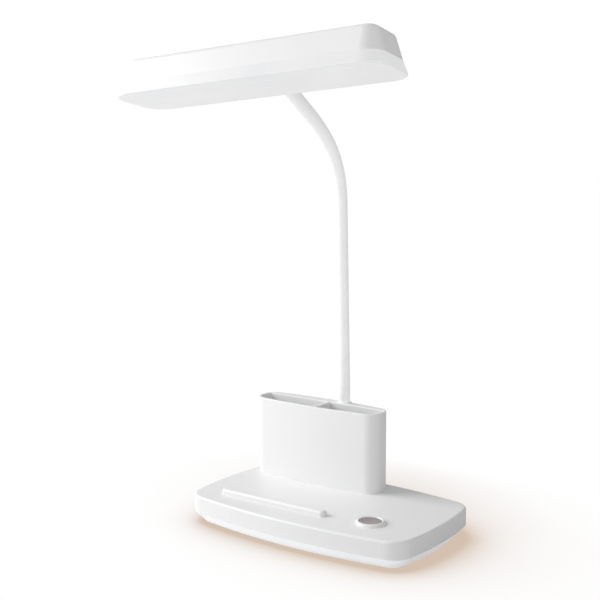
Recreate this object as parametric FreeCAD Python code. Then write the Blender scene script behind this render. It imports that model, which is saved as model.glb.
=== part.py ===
"""Desk lamp with a pen cup on its base and a bar-shaped head on a gooseneck.

Millimetres, +Z up. The origin is the middle of the base's footprint, on the face it rests on.
-Y is the front, where the phone lip is, and +X is the side of the power button.
Each piece is written to parts/NODE.step.
"""

import FreeCAD, Part
import math
import os

Vec = FreeCAD.Vector
Z_AXIS = Vec(0, 0, 1)

# ---------------------------------------------------------------- driving dimensions
# Fits
FIT_GAP = 0.2               # a lip or stem beside the wall it slides past
BONDED_GAP = 0.05           # round pieces pressed or bonded into each other
RUNNING_GAP = 0.25          # round the button
SOCKET_GAP = 0.3            # between a neck link's round end and the next link's hollow end
JOIN_OVERLAP = 0.5          # how far a rib or post sinks into what carries it
CUT_OVERRUN = 1.0           # how far a cutter runs past what it cuts
HOLE_OVERRUN = 2.0          # depth of a blind screw hole beyond the screw's tip
ROUND_SHARE = 0.48          # of a bar's thickness, for an end that is as good as round
CORNER_LIMIT = 0.97         # of half a side, for the largest corner that still fits on it
SMALLEST_CORNER = 1.0
SAME_PLACE = 0.001          # distance under which two places count as one

# Base outline: a rounded rectangle whose four sides bow outwards
BASE_WIDTH = 190.0
BASE_DEPTH = 113.0
BASE_FRONT_BOW = 8.0        # how far the front and the back bow past the corners
BASE_SIDE_BOW = 5.0         # how far the two short sides bow
BASE_CORNER = 16.0
BASE_HEIGHT = 21.5          # table to the top of the shell
SEAM_HEIGHT = 9.0           # table to the seam between tray and shell

# Base shell
SHELL_WALL = 2.0
SHELL_ROOF = 2.2
SHELL_EDGE = 1.8            # rounding between the roof and the walls
LIP_SETBACK = 24.0          # from the base's front to the middle of the phone lip
LIP_OFFSET = 6.8            # from the cup's middle to the lip's middle, along X
LIP_LENGTH = 92.0
LIP_DEPTH = 7.0
LIP_HEIGHT = 4.0
LIP_ROUNDING = 2.0

# Base tray and the pad under it
TRAY_TAPER = 7.0            # how far the tray draws in between the seam and its floor
TRAY_WALL = 2.0
TRAY_FLOOR = 2.4
TRAY_LIP_HEIGHT = 2.0       # lip that stands up inside the shell
TRAY_LIP_WALL = 1.2
PAD_THICKNESS = 1.6
PAD_PROUD = 0.8             # how far the pad stands below the tray
PAD_MARGIN = 6.0            # tray floor left bare round the pad
PAD_CORNER = 16.0

# Base screws, driven up from below
BASE_SCREW_SIDE = 19.0      # from the base's side to the screw, along X
BASE_SCREW_END = 30.5       # from the base's front or back to the screw, along Y
SCREW_SHANK = 3.0           # shank diameters
SCREW_HEAD = 5.6
SCREW_HEAD_HEIGHT = 1.8
SCREW_DRIVE = 2.0           # across the flats of the hexagon recess
SCREW_EDGE = 0.5            # chamfer round the head and at the tip
SMALL_SHANK = 2.2
SMALL_HEAD = 4.2
SMALL_HEAD_HEIGHT = 1.4
SMALL_DRIVE = 1.5
POST_WALL = 2.0             # plastic round a screw hole
BASE_SCREW_LENGTH = 12.0

# Pen cup
CUP_SIDE = 7.45             # from the base's left side to the cup
CUP_SETBACK = 5.0           # from the base's back to the cup's back, where both bow most
CUP_WIDTH = 111.5
CUP_DEPTH = 29.0
CUP_BOW = 3.5
CUP_SIDE_BOW = 0.9
CUP_CORNER = 10.5
CUP_HEIGHT = 60.0           # above the base shell
CUP_WALL = 2.0
CUP_FLOOR = 2.0
CUP_RIM_EDGE = 0.6
CUP_BACK_WALL = 8.3         # thick enough for the neck's column and the cup's screws
DIVIDER_OFFSET = 3.3        # from the cup's middle, along X
DIVIDER_WALL = 1.8
COMPARTMENT_CORNER = 1.2    # inner corners at the divider and the back wall
CUP_SCREW_LEFT = 38.0       # from the neck to each cup screw, along X
CUP_SCREW_RIGHT = 22.8
CUP_SCREW_LENGTH = 12.0

# Gooseneck: a metal hose in a soft sleeve
NECK_OFFSET = 13.3          # from the cup's middle, along X
NECK_SETBACK = 2.5          # from the cup's back to the neck's axis
SLEEVE_RADIUS = 4.4
HOSE_RADIUS = 3.0
HOSE_BORE = 1.7             # radius of the wire channel in the hose
COLUMN_WALL = 1.6           # plastic round the neck where it enters the cup's back
COLUMN_BLEND = 5.0
NECK_HEADING = 6.0          # degrees that the neck's upright plane turns from -Y towards +X
NECK_LEAN_RADIUS = 150.0    # of the slight bend where the neck leaves the cup
NECK_LEAN_ANGLE = 88.0      # above the horizontal, beyond that bend
NECK_STRAIGHT = 147.8
NECK_CROOK_RADIUS = 63.0
NECK_CROOK_ANGLE = 41.5     # above the horizontal, where the crook ends
NECK_REACH_RADIUS = 146.0
NECK_REACH_ANGLE = 30.0
NECK_ARM = 41.5
NECK_ENTRY_RADIUS = 85.0
NECK_ENTRY_ANGLE = 24.0     # above the horizontal, where the neck enters the head
NECK_TAIL = 7.0             # straight run into the head
FIRST_JOINT = 12.0          # along the neck from the cup's rim
LAST_JOINT = 27.4           # back along the neck from the sleeve's end
JOINT_COUNT = 7

# Neck anchorage in the cup and the base
STUD_RADIUS = 3.0
STUD_COLLAR_HEIGHT = 8.0
STUD_SEAT_DEPTH = 30.0      # shoulder below the cup's rim
NUT_FLATS = 9.0
NUT_HEIGHT = 4.0
WASHER_RADIUS = 4.7
WASHER_THICKNESS = 0.8
STUD_TAIL = 1.2             # thread showing below the nut

# Lamp head, in its own frame: length along X, back at +Y, diffuser's face at z = 0
HEAD_LENGTH = 202.5
HEAD_DEPTH = 52.0
HEAD_CORNER = 16.0
HEAD_HEIGHT = 26.2
SHADE_HEIGHT = 17.1         # from the seam between diffuser and shade to the crown
HEAD_SEAM_INSET = 3.5       # draw-in of the outline at the seam
HEAD_CROWN_INSET = 8.6      # draw-in of the outline at the crown
HEAD_TURN = 6.0             # degrees about Z
HEAD_LEAN = -4.5            # degrees about Y: the left end hangs lower
HEAD_TILT = -9.0            # degrees about X: the front edge is lifted
NECK_ENTRY_DROP = 10.8      # of the neck's axis on the back wall, below the crown
SHADE_WALL = 2.0
SHADE_ROOF = 2.2
SHADE_EDGE = 4.0
DIFFUSER_WALL = 1.8
DIFFUSER_EDGE = 1.0
DIFFUSER_LIP_HEIGHT = 1.5
DIFFUSER_LIP_WALL = 1.2

# Ferrule and clamp that hold the neck in the head
FERRULE_RADIUS = 4.2
FERRULE_INSIDE = 13.0       # length inside the back wall
FERRULE_FLANGE = 1.5
FERRULE_FLANGE_RADIUS = 5.4
NECK_BOSS_RADIUS = 5.4
NECK_BOSS_LENGTH = 4.0
CLAMP_WIDTH = 24.0
CLAMP_DEPTH = 8.0
CLAMP_GRIP = 3.2            # from the ferrule's inner end to the clamp's middle
CLAMP_CLEARANCE = 1.0       # over the LED board
CLAMP_CORNER = 1.5
CLAMP_SCREW_SPREAD = 8.6
CLAMP_SCREW_BITE = 1.2      # how far the clamp screws reach into the shade's roof
CLAMP_SCREW_HEIGHT = 5.0    # of their heads above the LED board

# Lights
LED_BOARD_END = 13.25       # from the head's end to the board
LED_BOARD_SIDE = 12.0       # from the head's front or back to the board
LED_BOARD_CORNER = 3.0
LED_BOARD_THICKNESS = 1.2
LED_BOARD_LIFT = 0.7        # of the board's underside above the head's seam
LED_ROWS = 2
LED_MARGIN = 8.0            # from the board's end to the outermost lights' middles, at least
LED_PITCH_X = 12.0
LED_PITCH_Y = 13.0
LED_LENGTH = 3.5
LED_DEPTH = 2.8
LED_HEIGHT = 0.7
LED_SCREW_INSET = 10.0      # from the board's end to its outer screws
LED_SCREW_BITE = 6.0        # length of the LED screws in their bosses
LED_BOSS_RADIUS = 2.6

# Power button
BUTTON_SIDE = 41.5          # from the base's right side to the button's middle
BUTTON_SETBACK = 30.5       # from the base's front to the button's middle
BUTTON_RADIUS = 7.6
BUTTON_PROUD = 1.5          # above the shell
BUTTON_THICKNESS = 3.0
BUTTON_DISH = 0.5           # hollow in the middle of the cap
BUTTON_DISH_RADIUS = 6.5
BUTTON_EDGE = 0.5           # rounding of the cap's rim
BUTTON_TRAVEL = 0.8
BUTTON_FLANGE_RADIUS = 8.6
BUTTON_FLANGE_HEIGHT = 1.2
BUTTON_STEM_RADIUS = 2.2
BEZEL_RADIUS = 10.4
BEZEL_PROUD = 2.2
BEZEL_SKIRT_RADIUS = 9.0
BEZEL_STEP = 0.55           # upright part of the ring's outer side
BEZEL_BULGE = 0.55          # how far the ring's shoulder keeps from its corner, in and down
BEZEL_LEAD = 0.5            # lead-in round the bore
BEZEL_CROWN_FALL = 0.1      # from the crown to the lead-in

# Control board under the button
BOARD_THICKNESS = 1.6
BOARD_LENGTH = 40.0
BOARD_DEPTH = 30.0
BOARD_CORNER = 2.0
BOARD_OFFSET = 4.5          # from the board's middle to the button, along X
BOARD_SCREW_BITE = 4.0      # length of the board's screws in their bosses
BOARD_SCREW_SPREAD_X = 16.5
BOARD_SCREW_SPREAD_Y = 11.5
CHIP_LENGTH = 6.0
CHIP_WIDTH = 5.0
CHIP_HEIGHT = 1.5
COIL_RADIUS = 3.5
COIL_HEIGHT = 3.0
POWER_PARTS_INSET = 8.0     # from the board's end to the chip and the coil
POWER_PARTS_SPREAD = 4.0    # of the chip and the coil on either side of the middle
PLUG_LENGTH = 10.0          # connector under the board
PLUG_WIDTH = 4.5
PLUG_HEIGHT = 3.0
PLUG_INSET = 5.0            # from the board's end to the connector's middle
SWITCH_SIDE = 6.2
SWITCH_CORNER = 0.5
SWITCH_HEIGHT = 3.4
SWITCH_FOOT_LENGTH = 1.4
SWITCH_FOOT_WIDTH = 0.8
SWITCH_FOOT_HEIGHT = 0.4
SWITCH_FOOT_SPREAD = 2.2
PLUNGER_RADIUS = 1.75
PLUNGER_PROUD = 0.9         # above the switch body
PLUNGER_SEAT = 1.6          # depth of the plunger in the switch body

# Charging inlet at the back
INLET_SIDE = 51.0           # from the base's right side to the inlet's middle
INLET_Z = 14.3
INLET_WIDTH = 9.0
INLET_HEIGHT = 3.3
INLET_DEPTH = 8.0
INLET_WALL = 0.4
INLET_BACK = 1.2            # thickness of the sleeve's closed end
INLET_SETBACK = 0.5         # of the mouth behind the wall's face
INLET_REVEAL = 0.4          # cut-out in the shell round the inlet
TONGUE_WIDTH = 6.2
TONGUE_THICKNESS = 0.7
TONGUE_SETBACK = 0.8        # of the tongue's tip behind the mouth
CHARGE_BOARD_WIDTH = 24.0
CHARGE_BOARD_DEPTH = 15.0
CHARGE_BOARD_THICKNESS = 1.2
CHARGE_BOARD_CORNER = 1.5
CHARGE_POST_SPREAD = 9.0
CHARGE_POST_SETBACK = 3.0   # from the board's middle, towards the front
CHARGE_POST_RADIUS = 1.8
CHARGE_PEG_RADIUS = 1.0
CHARGE_PEG_PROUD = 0.8      # above the board

# Battery and counterweight on the tray's floor
BATTERY_TO_SCREW = 10.0     # from the battery's end to the base screws' axes
BATTERY_TO_BOARD = 4.0      # from the battery's front to the control board
BATTERY_TO_BACK = 29.5      # from the battery's back to the base's back
BATTERY_LENGTH = 60.0
BATTERY_HEIGHT = 8.0
BATTERY_CORNER = 2.5
BATTERY_EDGE = 1.25
BATTERY_FOLD = 4.0          # length of the wrapper's folded end
BATTERY_FOLD_INSET = 3.5    # from the battery's sides to the fold's
BATTERY_FOLD_HEIGHT = 3.6
WEIGHT_TO_SCREW = 6.0       # from the weight's end to the base screws' axes
WEIGHT_TO_BATTERY = 4.0
WEIGHT_MARGIN = 24.5        # from the base's front or back to the weight's sides
WEIGHT_Y = -6.0
WEIGHT_HEIGHT = 6.0
WEIGHT_CORNER = 6.0
WEIGHT_EDGE = 0.6
FENCE_WALL = 1.4
FENCE_HEIGHT = 4.0
FENCE_SHARE = 0.2           # of a side, for each arm of a corner fence along it

# ---------------------------------------------------------------- derived places and heights
BASE_SIDE = BASE_WIDTH / 2
BASE_END = BASE_DEPTH / 2
BASE_SCREW_X = BASE_SIDE - BASE_SCREW_SIDE
BASE_SCREW_Y = BASE_END - BASE_SCREW_END
CUP_CENTRE_X = CUP_SIDE + CUP_WIDTH / 2 - BASE_SIDE
CUP_BACK_Y = BASE_END - CUP_SETBACK
CUP_FRONT_Y = CUP_BACK_Y - CUP_DEPTH
CUP_CENTRE_Y = (CUP_FRONT_Y + CUP_BACK_Y) / 2
CUP_BACK_INSIDE_Y = CUP_BACK_Y - CUP_BACK_WALL
DIVIDER_X = CUP_CENTRE_X + DIVIDER_OFFSET
NECK_X = CUP_CENTRE_X + NECK_OFFSET
NECK_Y = CUP_BACK_Y - NECK_SETBACK
LIP_CENTRE_X = CUP_CENTRE_X + LIP_OFFSET
LIP_CENTRE_Y = LIP_SETBACK - BASE_END
BUTTON_X = BASE_SIDE - BUTTON_SIDE
BUTTON_Y = BUTTON_SETBACK - BASE_END
BOARD_CENTRE_X = BUTTON_X - BOARD_OFFSET
INLET_X = BASE_SIDE - INLET_SIDE
BATTERY_X = BASE_SCREW_X - BATTERY_TO_SCREW - BATTERY_LENGTH / 2
BATTERY_FRONT = BUTTON_Y + BOARD_DEPTH / 2 + BATTERY_TO_BOARD
BATTERY_DEPTH = BASE_END - BATTERY_TO_BACK - BATTERY_FRONT
BATTERY_Y = BATTERY_FRONT + BATTERY_DEPTH / 2
WEIGHT_LEFT = WEIGHT_TO_SCREW - BASE_SCREW_X
WEIGHT_LENGTH = BATTERY_X - BATTERY_LENGTH / 2 - WEIGHT_TO_BATTERY - WEIGHT_LEFT
WEIGHT_X = WEIGHT_LEFT + WEIGHT_LENGTH / 2
WEIGHT_DEPTH = BASE_DEPTH - 2 * WEIGHT_MARGIN
ROOF_UNDERSIDE = BASE_HEIGHT - SHELL_ROOF
TRAY_UNDERSIDE = PAD_PROUD
TRAY_FLOOR_TOP = TRAY_UNDERSIDE + TRAY_FLOOR
RIM_HEIGHT = BASE_HEIGHT + CUP_HEIGHT
BUTTON_TOP = BASE_HEIGHT + BUTTON_PROUD
BUTTON_FLANGE_TOP = ROOF_UNDERSIDE - FIT_GAP
BUTTON_FLANGE_BOTTOM = BUTTON_FLANGE_TOP - BUTTON_FLANGE_HEIGHT
BUTTON_STEM_BOTTOM = BUTTON_FLANGE_BOTTOM - PLUNGER_PROUD
SWITCH_TOP = BUTTON_STEM_BOTTOM - PLUNGER_PROUD
BOARD_TOP = SWITCH_TOP - SWITCH_HEIGHT
BOARD_BOTTOM = BOARD_TOP - BOARD_THICKNESS
STUD_SEAT = RIM_HEIGHT - STUD_SEAT_DEPTH
NECK_FOOT = STUD_SEAT + STUD_COLLAR_HEIGHT
HEAD_SEAM = HEAD_HEIGHT - SHADE_HEIGHT
NECK_ENTRY_HEIGHT = HEAD_HEIGHT - NECK_ENTRY_DROP
LED_BOARD_Z = HEAD_SEAM + LED_BOARD_LIFT
LED_BOARD_TOP = LED_BOARD_Z + LED_BOARD_THICKNESS
LED_BOARD_LENGTH = HEAD_LENGTH - 2 * LED_BOARD_END
LED_BOARD_DEPTH = HEAD_DEPTH - 2 * LED_BOARD_SIDE
LED_SCREW_X = LED_BOARD_LENGTH / 2 - LED_SCREW_INSET
LED_COLUMNS = int((LED_BOARD_LENGTH - 2 * LED_MARGIN) / LED_PITCH_X) + 1
SHADE_CEILING = HEAD_HEIGHT - SHADE_ROOF


# ---------------------------------------------------------------- plain solids
def cylinder(radius, height, base, direction=Z_AXIS):
    """A round bar from its base point along a direction."""
    return Part.makeCylinder(radius, height, base, direction)


def ring(outer, inner, height, base, direction=Z_AXIS):
    """A round tube from its base point along a direction."""
    return cylinder(outer, height, base, direction).cut(cylinder(inner, height, base, direction))


def block(length, depth, z_low, z_high, centre_x=0.0, centre_y=0.0):
    """A box centred on a point in plan, between two heights."""
    corner = Vec(centre_x - length / 2, centre_y - depth / 2, z_low)
    return Part.makeBox(length, depth, z_high - z_low, corner)


def hexagon(flats, height, base):
    """A hexagonal prism standing on its base point."""
    reach = flats / 2 / math.cos(math.pi / 6)
    points = [
        base + Vec(reach * math.cos(math.pi / 3 * k), reach * math.sin(math.pi / 3 * k), 0)
        for k in range(6)
    ]
    return Part.Face(Part.makePolygon(points + points[:1])).extrude(Vec(0, 0, height))


def upright_edges(shape):
    """The straight vertical edges of a shape."""
    found = []
    for edge in shape.Edges:
        ends = [vertex.Point for vertex in edge.Vertexes]
        if len(ends) == 2 and (ends[0] - ends[1]).cross(Z_AXIS).Length < SAME_PLACE:
            found.append(edge)
    return found


def flat_at(shape, z):
    """Whether an edge or face lies flat at one height."""
    box = shape.BoundBox
    return abs(box.ZMin - z) < SAME_PLACE and abs(box.ZMax - z) < SAME_PLACE


def edges_at(shape, z):
    """The edges that lie flat at one height."""
    return [edge for edge in shape.Edges if flat_at(edge, z)]


def slab(length, depth, corner, z_low, z_high, centre_x=0.0, centre_y=0.0):
    """A box with its four upright edges rounded."""
    body = block(length, depth, z_low, z_high, centre_x, centre_y)
    return body.makeFillet(corner, upright_edges(body))


def bowed_slab(width, depth, front_bow, side_bow, corner, z_low, z_high, centre=(0.0, 0.0)):
    """A slab whose four sides are arcs that bow outwards, with rounded upright edges."""
    cx, cy = centre
    half_w, half_d = width / 2, depth / 2
    corner_x, corner_y = half_w - side_bow, half_d - front_bow

    def at(x, y):
        return Vec(cx + x, cy + y, z_low)

    sides = [
        Part.Arc(at(-corner_x, -corner_y), at(0, -half_d), at(corner_x, -corner_y)),
        Part.Arc(at(corner_x, -corner_y), at(half_w, 0), at(corner_x, corner_y)),
        Part.Arc(at(corner_x, corner_y), at(0, half_d), at(-corner_x, corner_y)),
        Part.Arc(at(-corner_x, corner_y), at(-half_w, 0), at(-corner_x, -corner_y)),
    ]
    face = Part.Face(Part.Wire([side.toShape() for side in sides]))
    body = face.extrude(Vec(0, 0, z_high - z_low))
    return body.makeFillet(min(corner, CORNER_LIMIT * corner_x, CORNER_LIMIT * corner_y), upright_edges(body))


def outline(shape, z):
    """The outer wire of a shape's flat face at one height."""
    faces = [face for face in shape.Faces if flat_at(face, z)]
    return max(faces, key=lambda face: face.Area).OuterWire


def tapered(low_shape, low_z, high_shape, high_z):
    """A solid between the outline of one slab at its foot and that of another at its head."""
    return Part.makeLoft([outline(low_shape, low_z), outline(high_shape, high_z)], True, True)


def joined(first, *others):
    """Shapes fused into one solid, with the seams between them removed."""
    return first.fuse(list(others)).removeSplitter()


def group(shapes):
    """Separate solids kept together as one piece."""
    return Part.makeCompound(list(shapes))


def screw(head_radius, head_height, shank_radius, length, drive, base):
    """A screw driven upwards: its head's face is at the base point and its shank points up."""
    head = cylinder(head_radius, head_height, base)
    head = head.makeChamfer(SCREW_EDGE, edges_at(head, base.z))
    shank = cylinder(shank_radius, length, base + Vec(0, 0, head_height))
    shank = shank.makeChamfer(SCREW_EDGE, edges_at(shank, base.z + head_height + length))
    recess = hexagon(drive, head_height / 2, base)
    return joined(head, shank).cut(recess)


def base_screw_places():
    """Plan positions of the four base screws."""
    return [(sx * BASE_SCREW_X, sy * BASE_SCREW_Y) for sx in (-1, 1) for sy in (-1, 1)]


def cup_screw_places():
    """Plan positions of the two screws into the cup's thick back wall."""
    middle = (CUP_BACK_INSIDE_Y + CUP_BACK_Y - CUP_BOW / 2) / 2
    return [(NECK_X - CUP_SCREW_LEFT, middle), (NECK_X + CUP_SCREW_RIGHT, middle)]


def board_screw_places():
    """Plan positions of the two screws that hold the control board."""
    return [(BOARD_CENTRE_X + s * BOARD_SCREW_SPREAD_X, BUTTON_Y - s * BOARD_SCREW_SPREAD_Y)
            for s in (-1, 1)]


# ---------------------------------------------------------------- base
def base_slab(inset, z_low, z_high):
    """The base's outline, drawn in by an inset, as a slab."""
    return bowed_slab(
        BASE_WIDTH - 2 * inset, BASE_DEPTH - 2 * inset, BASE_FRONT_BOW, BASE_SIDE_BOW,
        max(BASE_CORNER - inset, SMALLEST_CORNER), z_low, z_high,
    )


def phone_lip():
    """The low bar on the roof that a leaning phone stands against."""
    top = BASE_HEIGHT + LIP_HEIGHT
    foot = BASE_HEIGHT - JOIN_OVERLAP
    bar = slab(LIP_LENGTH, LIP_DEPTH, LIP_DEPTH * ROUND_SHARE, foot, top, LIP_CENTRE_X, LIP_CENTRE_Y)
    return bar.makeFillet(LIP_ROUNDING, edges_at(bar, top))


def inlet_opening():
    """The cutter for the charging inlet's mouth in the shell's back wall."""
    width = INLET_WIDTH + 2 * INLET_REVEAL
    height = INLET_HEIGHT + 2 * INLET_REVEAL
    reach = BASE_FRONT_BOW + 2 * SHELL_WALL
    return flat_oval(width, height, reach, back_wall_y(INLET_X) + CUT_OVERRUN)


def base_shell():
    """The upper moulding: roof, walls, phone lip, screw bosses and openings."""
    shell = base_slab(0, SEAM_HEIGHT, BASE_HEIGHT)
    shell = shell.makeFillet(SHELL_EDGE, edges_at(shell, BASE_HEIGHT))
    shell = shell.cut(base_slab(SHELL_WALL, SEAM_HEIGHT, ROOF_UNDERSIDE))
    added = [phone_lip()]
    for x, y in base_screw_places():
        height = ROOF_UNDERSIDE - SEAM_HEIGHT
        added.append(cylinder(SCREW_SHANK / 2 + POST_WALL, height + JOIN_OVERLAP, Vec(x, y, SEAM_HEIGHT)))
    for x, y in board_screw_places():
        height = ROOF_UNDERSIDE - BOARD_TOP
        added.append(cylinder(SMALL_SHANK / 2 + POST_WALL, height + JOIN_OVERLAP, Vec(x, y, BOARD_TOP)))
    shell = joined(shell, *added)
    cutters = [inlet_opening()]
    for x, y in base_screw_places():
        cutters.append(cylinder(SCREW_SHANK / 2, ROOF_UNDERSIDE - SEAM_HEIGHT, Vec(x, y, SEAM_HEIGHT)))
    for x, y in board_screw_places():
        cutters.append(cylinder(SMALL_SHANK / 2, ROOF_UNDERSIDE - BOARD_TOP, Vec(x, y, BOARD_TOP)))
    for x, y in cup_screw_places():
        cutters.append(cylinder(SCREW_SHANK / 2 + FIT_GAP, SHELL_ROOF, Vec(x, y, ROOF_UNDERSIDE)))
    cutters.append(cylinder(STUD_RADIUS + FIT_GAP, SHELL_ROOF, Vec(NECK_X, NECK_Y, ROOF_UNDERSIDE)))
    skirt = BEZEL_SKIRT_RADIUS + BONDED_GAP
    cutters.append(cylinder(skirt, SHELL_ROOF, Vec(BUTTON_X, BUTTON_Y, ROOF_UNDERSIDE)))
    return shell.cut(cutters)


def corner_fence(x, y, length, depth):
    """Four L-shaped ribs on the tray's floor round the corners of a block."""
    foot, top = TRAY_FLOOR_TOP - JOIN_OVERLAP, TRAY_FLOOR_TOP + FENCE_HEIGHT
    outer = block(length + 2 * FENCE_WALL, depth + 2 * FENCE_WALL, foot, top, x, y)
    height = (foot - CUT_OVERRUN, top + CUT_OVERRUN)
    fence = outer.cut(block(length, depth, *height, x, y))
    open_share = 1 - 2 * FENCE_SHARE
    fence = fence.cut(block(length * open_share, depth + 4 * FENCE_WALL, *height, x, y))
    fence = fence.cut(block(length + 4 * FENCE_WALL, depth * open_share, *height, x, y))
    return fence.Solids


def base_tray():
    """The tapered lower cover, with its lip, screw posts, fences and board posts."""
    outer = tapered(
        base_slab(TRAY_TAPER, TRAY_UNDERSIDE, TRAY_FLOOR_TOP), TRAY_UNDERSIDE,
        base_slab(0, TRAY_FLOOR_TOP, SEAM_HEIGHT), SEAM_HEIGHT,
    )
    lip_outer = SHELL_WALL + FIT_GAP
    lip_inner = lip_outer + TRAY_LIP_WALL
    hollow = tapered(
        base_slab(TRAY_TAPER + TRAY_WALL, TRAY_FLOOR_TOP, SEAM_HEIGHT), TRAY_FLOOR_TOP,
        base_slab(lip_inner, TRAY_FLOOR_TOP, SEAM_HEIGHT), SEAM_HEIGHT,
    )
    lip_top = SEAM_HEIGHT + TRAY_LIP_HEIGHT
    lip = base_slab(lip_outer, SEAM_HEIGHT, lip_top).cut(base_slab(lip_inner, SEAM_HEIGHT, lip_top))
    added = [lip]
    foot = TRAY_FLOOR_TOP - JOIN_OVERLAP
    for x, y in base_screw_places():
        post = SCREW_HEAD / 2 + FIT_GAP + POST_WALL
        added.append(cylinder(post, SEAM_HEIGHT - foot, Vec(x, y, foot)))
    added += corner_fence(BATTERY_X, BATTERY_Y, BATTERY_LENGTH + 2 * FIT_GAP, BATTERY_DEPTH + 2 * FIT_GAP)
    added += corner_fence(WEIGHT_X, WEIGHT_Y, WEIGHT_LENGTH + 2 * FIT_GAP, WEIGHT_DEPTH + 2 * FIT_GAP)
    for x, y in charge_post_places():
        seat = charge_board_z()
        added.append(cylinder(CHARGE_POST_RADIUS, seat - foot, Vec(x, y, foot)))
        peg = CHARGE_PEG_RADIUS - BONDED_GAP
        added.append(cylinder(peg, CHARGE_BOARD_THICKNESS + CHARGE_PEG_PROUD, Vec(x, y, seat)))
    tray = joined(outer.cut(hollow), *added)
    cutters = [pad_slab(TRAY_UNDERSIDE - CUT_OVERRUN, PAD_THICKNESS, FIT_GAP)]
    seat = base_screw_seat()
    for x, y in base_screw_places():
        cutters.append(cylinder(SCREW_HEAD / 2 + FIT_GAP, seat, Vec(x, y, 0)))
        cutters.append(cylinder(SCREW_SHANK / 2 + FIT_GAP, SEAM_HEIGHT, Vec(x, y, 0)))
    return tray.cut(cutters)


def base_screw_seat():
    """Height of the shoulder in the tray's posts that the screw heads bear on."""
    return TRAY_FLOOR_TOP + SCREW_HEAD_HEIGHT


def pad_slab(z_low, z_high, margin=0.0):
    """The anti-slip pad's outline as a slab, grown by a margin."""
    inset = TRAY_TAPER + PAD_MARGIN - margin
    return bowed_slab(BASE_WIDTH - 2 * inset, BASE_DEPTH - 2 * inset, BASE_FRONT_BOW, BASE_SIDE_BOW,
                      PAD_CORNER + margin, z_low, z_high)


def base_pad():
    """The anti-slip pad the lamp stands on, with holes over the base screws."""
    pad = pad_slab(0, PAD_THICKNESS)
    holes = [cylinder(SCREW_HEAD / 2 + 2 * FIT_GAP, PAD_THICKNESS, Vec(x, y, 0))
             for x, y in base_screw_places()]
    return pad.cut(holes)


def base_screws():
    """The four screws that close the base."""
    foot = base_screw_seat() - SCREW_HEAD_HEIGHT
    return group(
        screw(SCREW_HEAD / 2, SCREW_HEAD_HEIGHT, SCREW_SHANK / 2, BASE_SCREW_LENGTH, SCREW_DRIVE,
              Vec(x, y, foot))
        for x, y in base_screw_places()
    )


def battery_pack():
    """The flat rechargeable cell in its wrapper, with its folded end."""
    z_low, z_top = TRAY_FLOOR_TOP, TRAY_FLOOR_TOP + BATTERY_HEIGHT
    cell = slab(BATTERY_LENGTH - BATTERY_FOLD, BATTERY_DEPTH, BATTERY_CORNER, z_low, z_top,
                BATTERY_X - BATTERY_FOLD / 2, BATTERY_Y)
    cell = cell.makeFillet(BATTERY_EDGE, edges_at(cell, z_top) + edges_at(cell, z_low))
    run = BATTERY_FOLD + BATTERY_CORNER
    fold = block(run, BATTERY_DEPTH - 2 * BATTERY_FOLD_INSET, z_low, z_low + BATTERY_FOLD_HEIGHT,
                 BATTERY_X + (BATTERY_LENGTH - run) / 2, BATTERY_Y)
    return joined(cell, fold)


def counterweight():
    """The steel plate that keeps the lamp from tipping under its head."""
    top = TRAY_FLOOR_TOP + WEIGHT_HEIGHT
    plate = slab(WEIGHT_LENGTH, WEIGHT_DEPTH, WEIGHT_CORNER, TRAY_FLOOR_TOP, top, WEIGHT_X, WEIGHT_Y)
    return plate.makeChamfer(WEIGHT_EDGE, edges_at(plate, top))


# ---------------------------------------------------------------- power button
def button_bezel():
    """The raised ring round the button, with a skirt through the roof."""
    bore = BUTTON_RADIUS + RUNNING_GAP
    crown = bore + 2 * BEZEL_LEAD
    top = BASE_HEIGHT + BEZEL_PROUD
    side = [
        Vec(bore, 0, ROOF_UNDERSIDE),
        Vec(BEZEL_SKIRT_RADIUS, 0, ROOF_UNDERSIDE),
        Vec(BEZEL_SKIRT_RADIUS, 0, BASE_HEIGHT),
        Vec(BEZEL_RADIUS, 0, BASE_HEIGHT),
        Vec(BEZEL_RADIUS, 0, BASE_HEIGHT + BEZEL_STEP),
    ]
    shoulder = Vec(BEZEL_RADIUS - BEZEL_BULGE, 0, top - BEZEL_BULGE)
    inside = [
        Vec(crown, 0, top),
        Vec(bore + BEZEL_LEAD, 0, top - BEZEL_CROWN_FALL),
        Vec(bore, 0, top - BEZEL_CROWN_FALL - BEZEL_LEAD),
        side[0],
    ]
    edges = [Part.makeLine(a, b) for a, b in zip(side, side[1:])]
    edges.append(Part.Arc(side[-1], shoulder, inside[0]).toShape())
    edges += [Part.makeLine(a, b) for a, b in zip(inside, inside[1:])]
    body = Part.Face(Part.Wire(edges)).revolve(Vec(0, 0, 0), Z_AXIS, 360)
    return body.translated(Vec(BUTTON_X, BUTTON_Y, 0))


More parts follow.
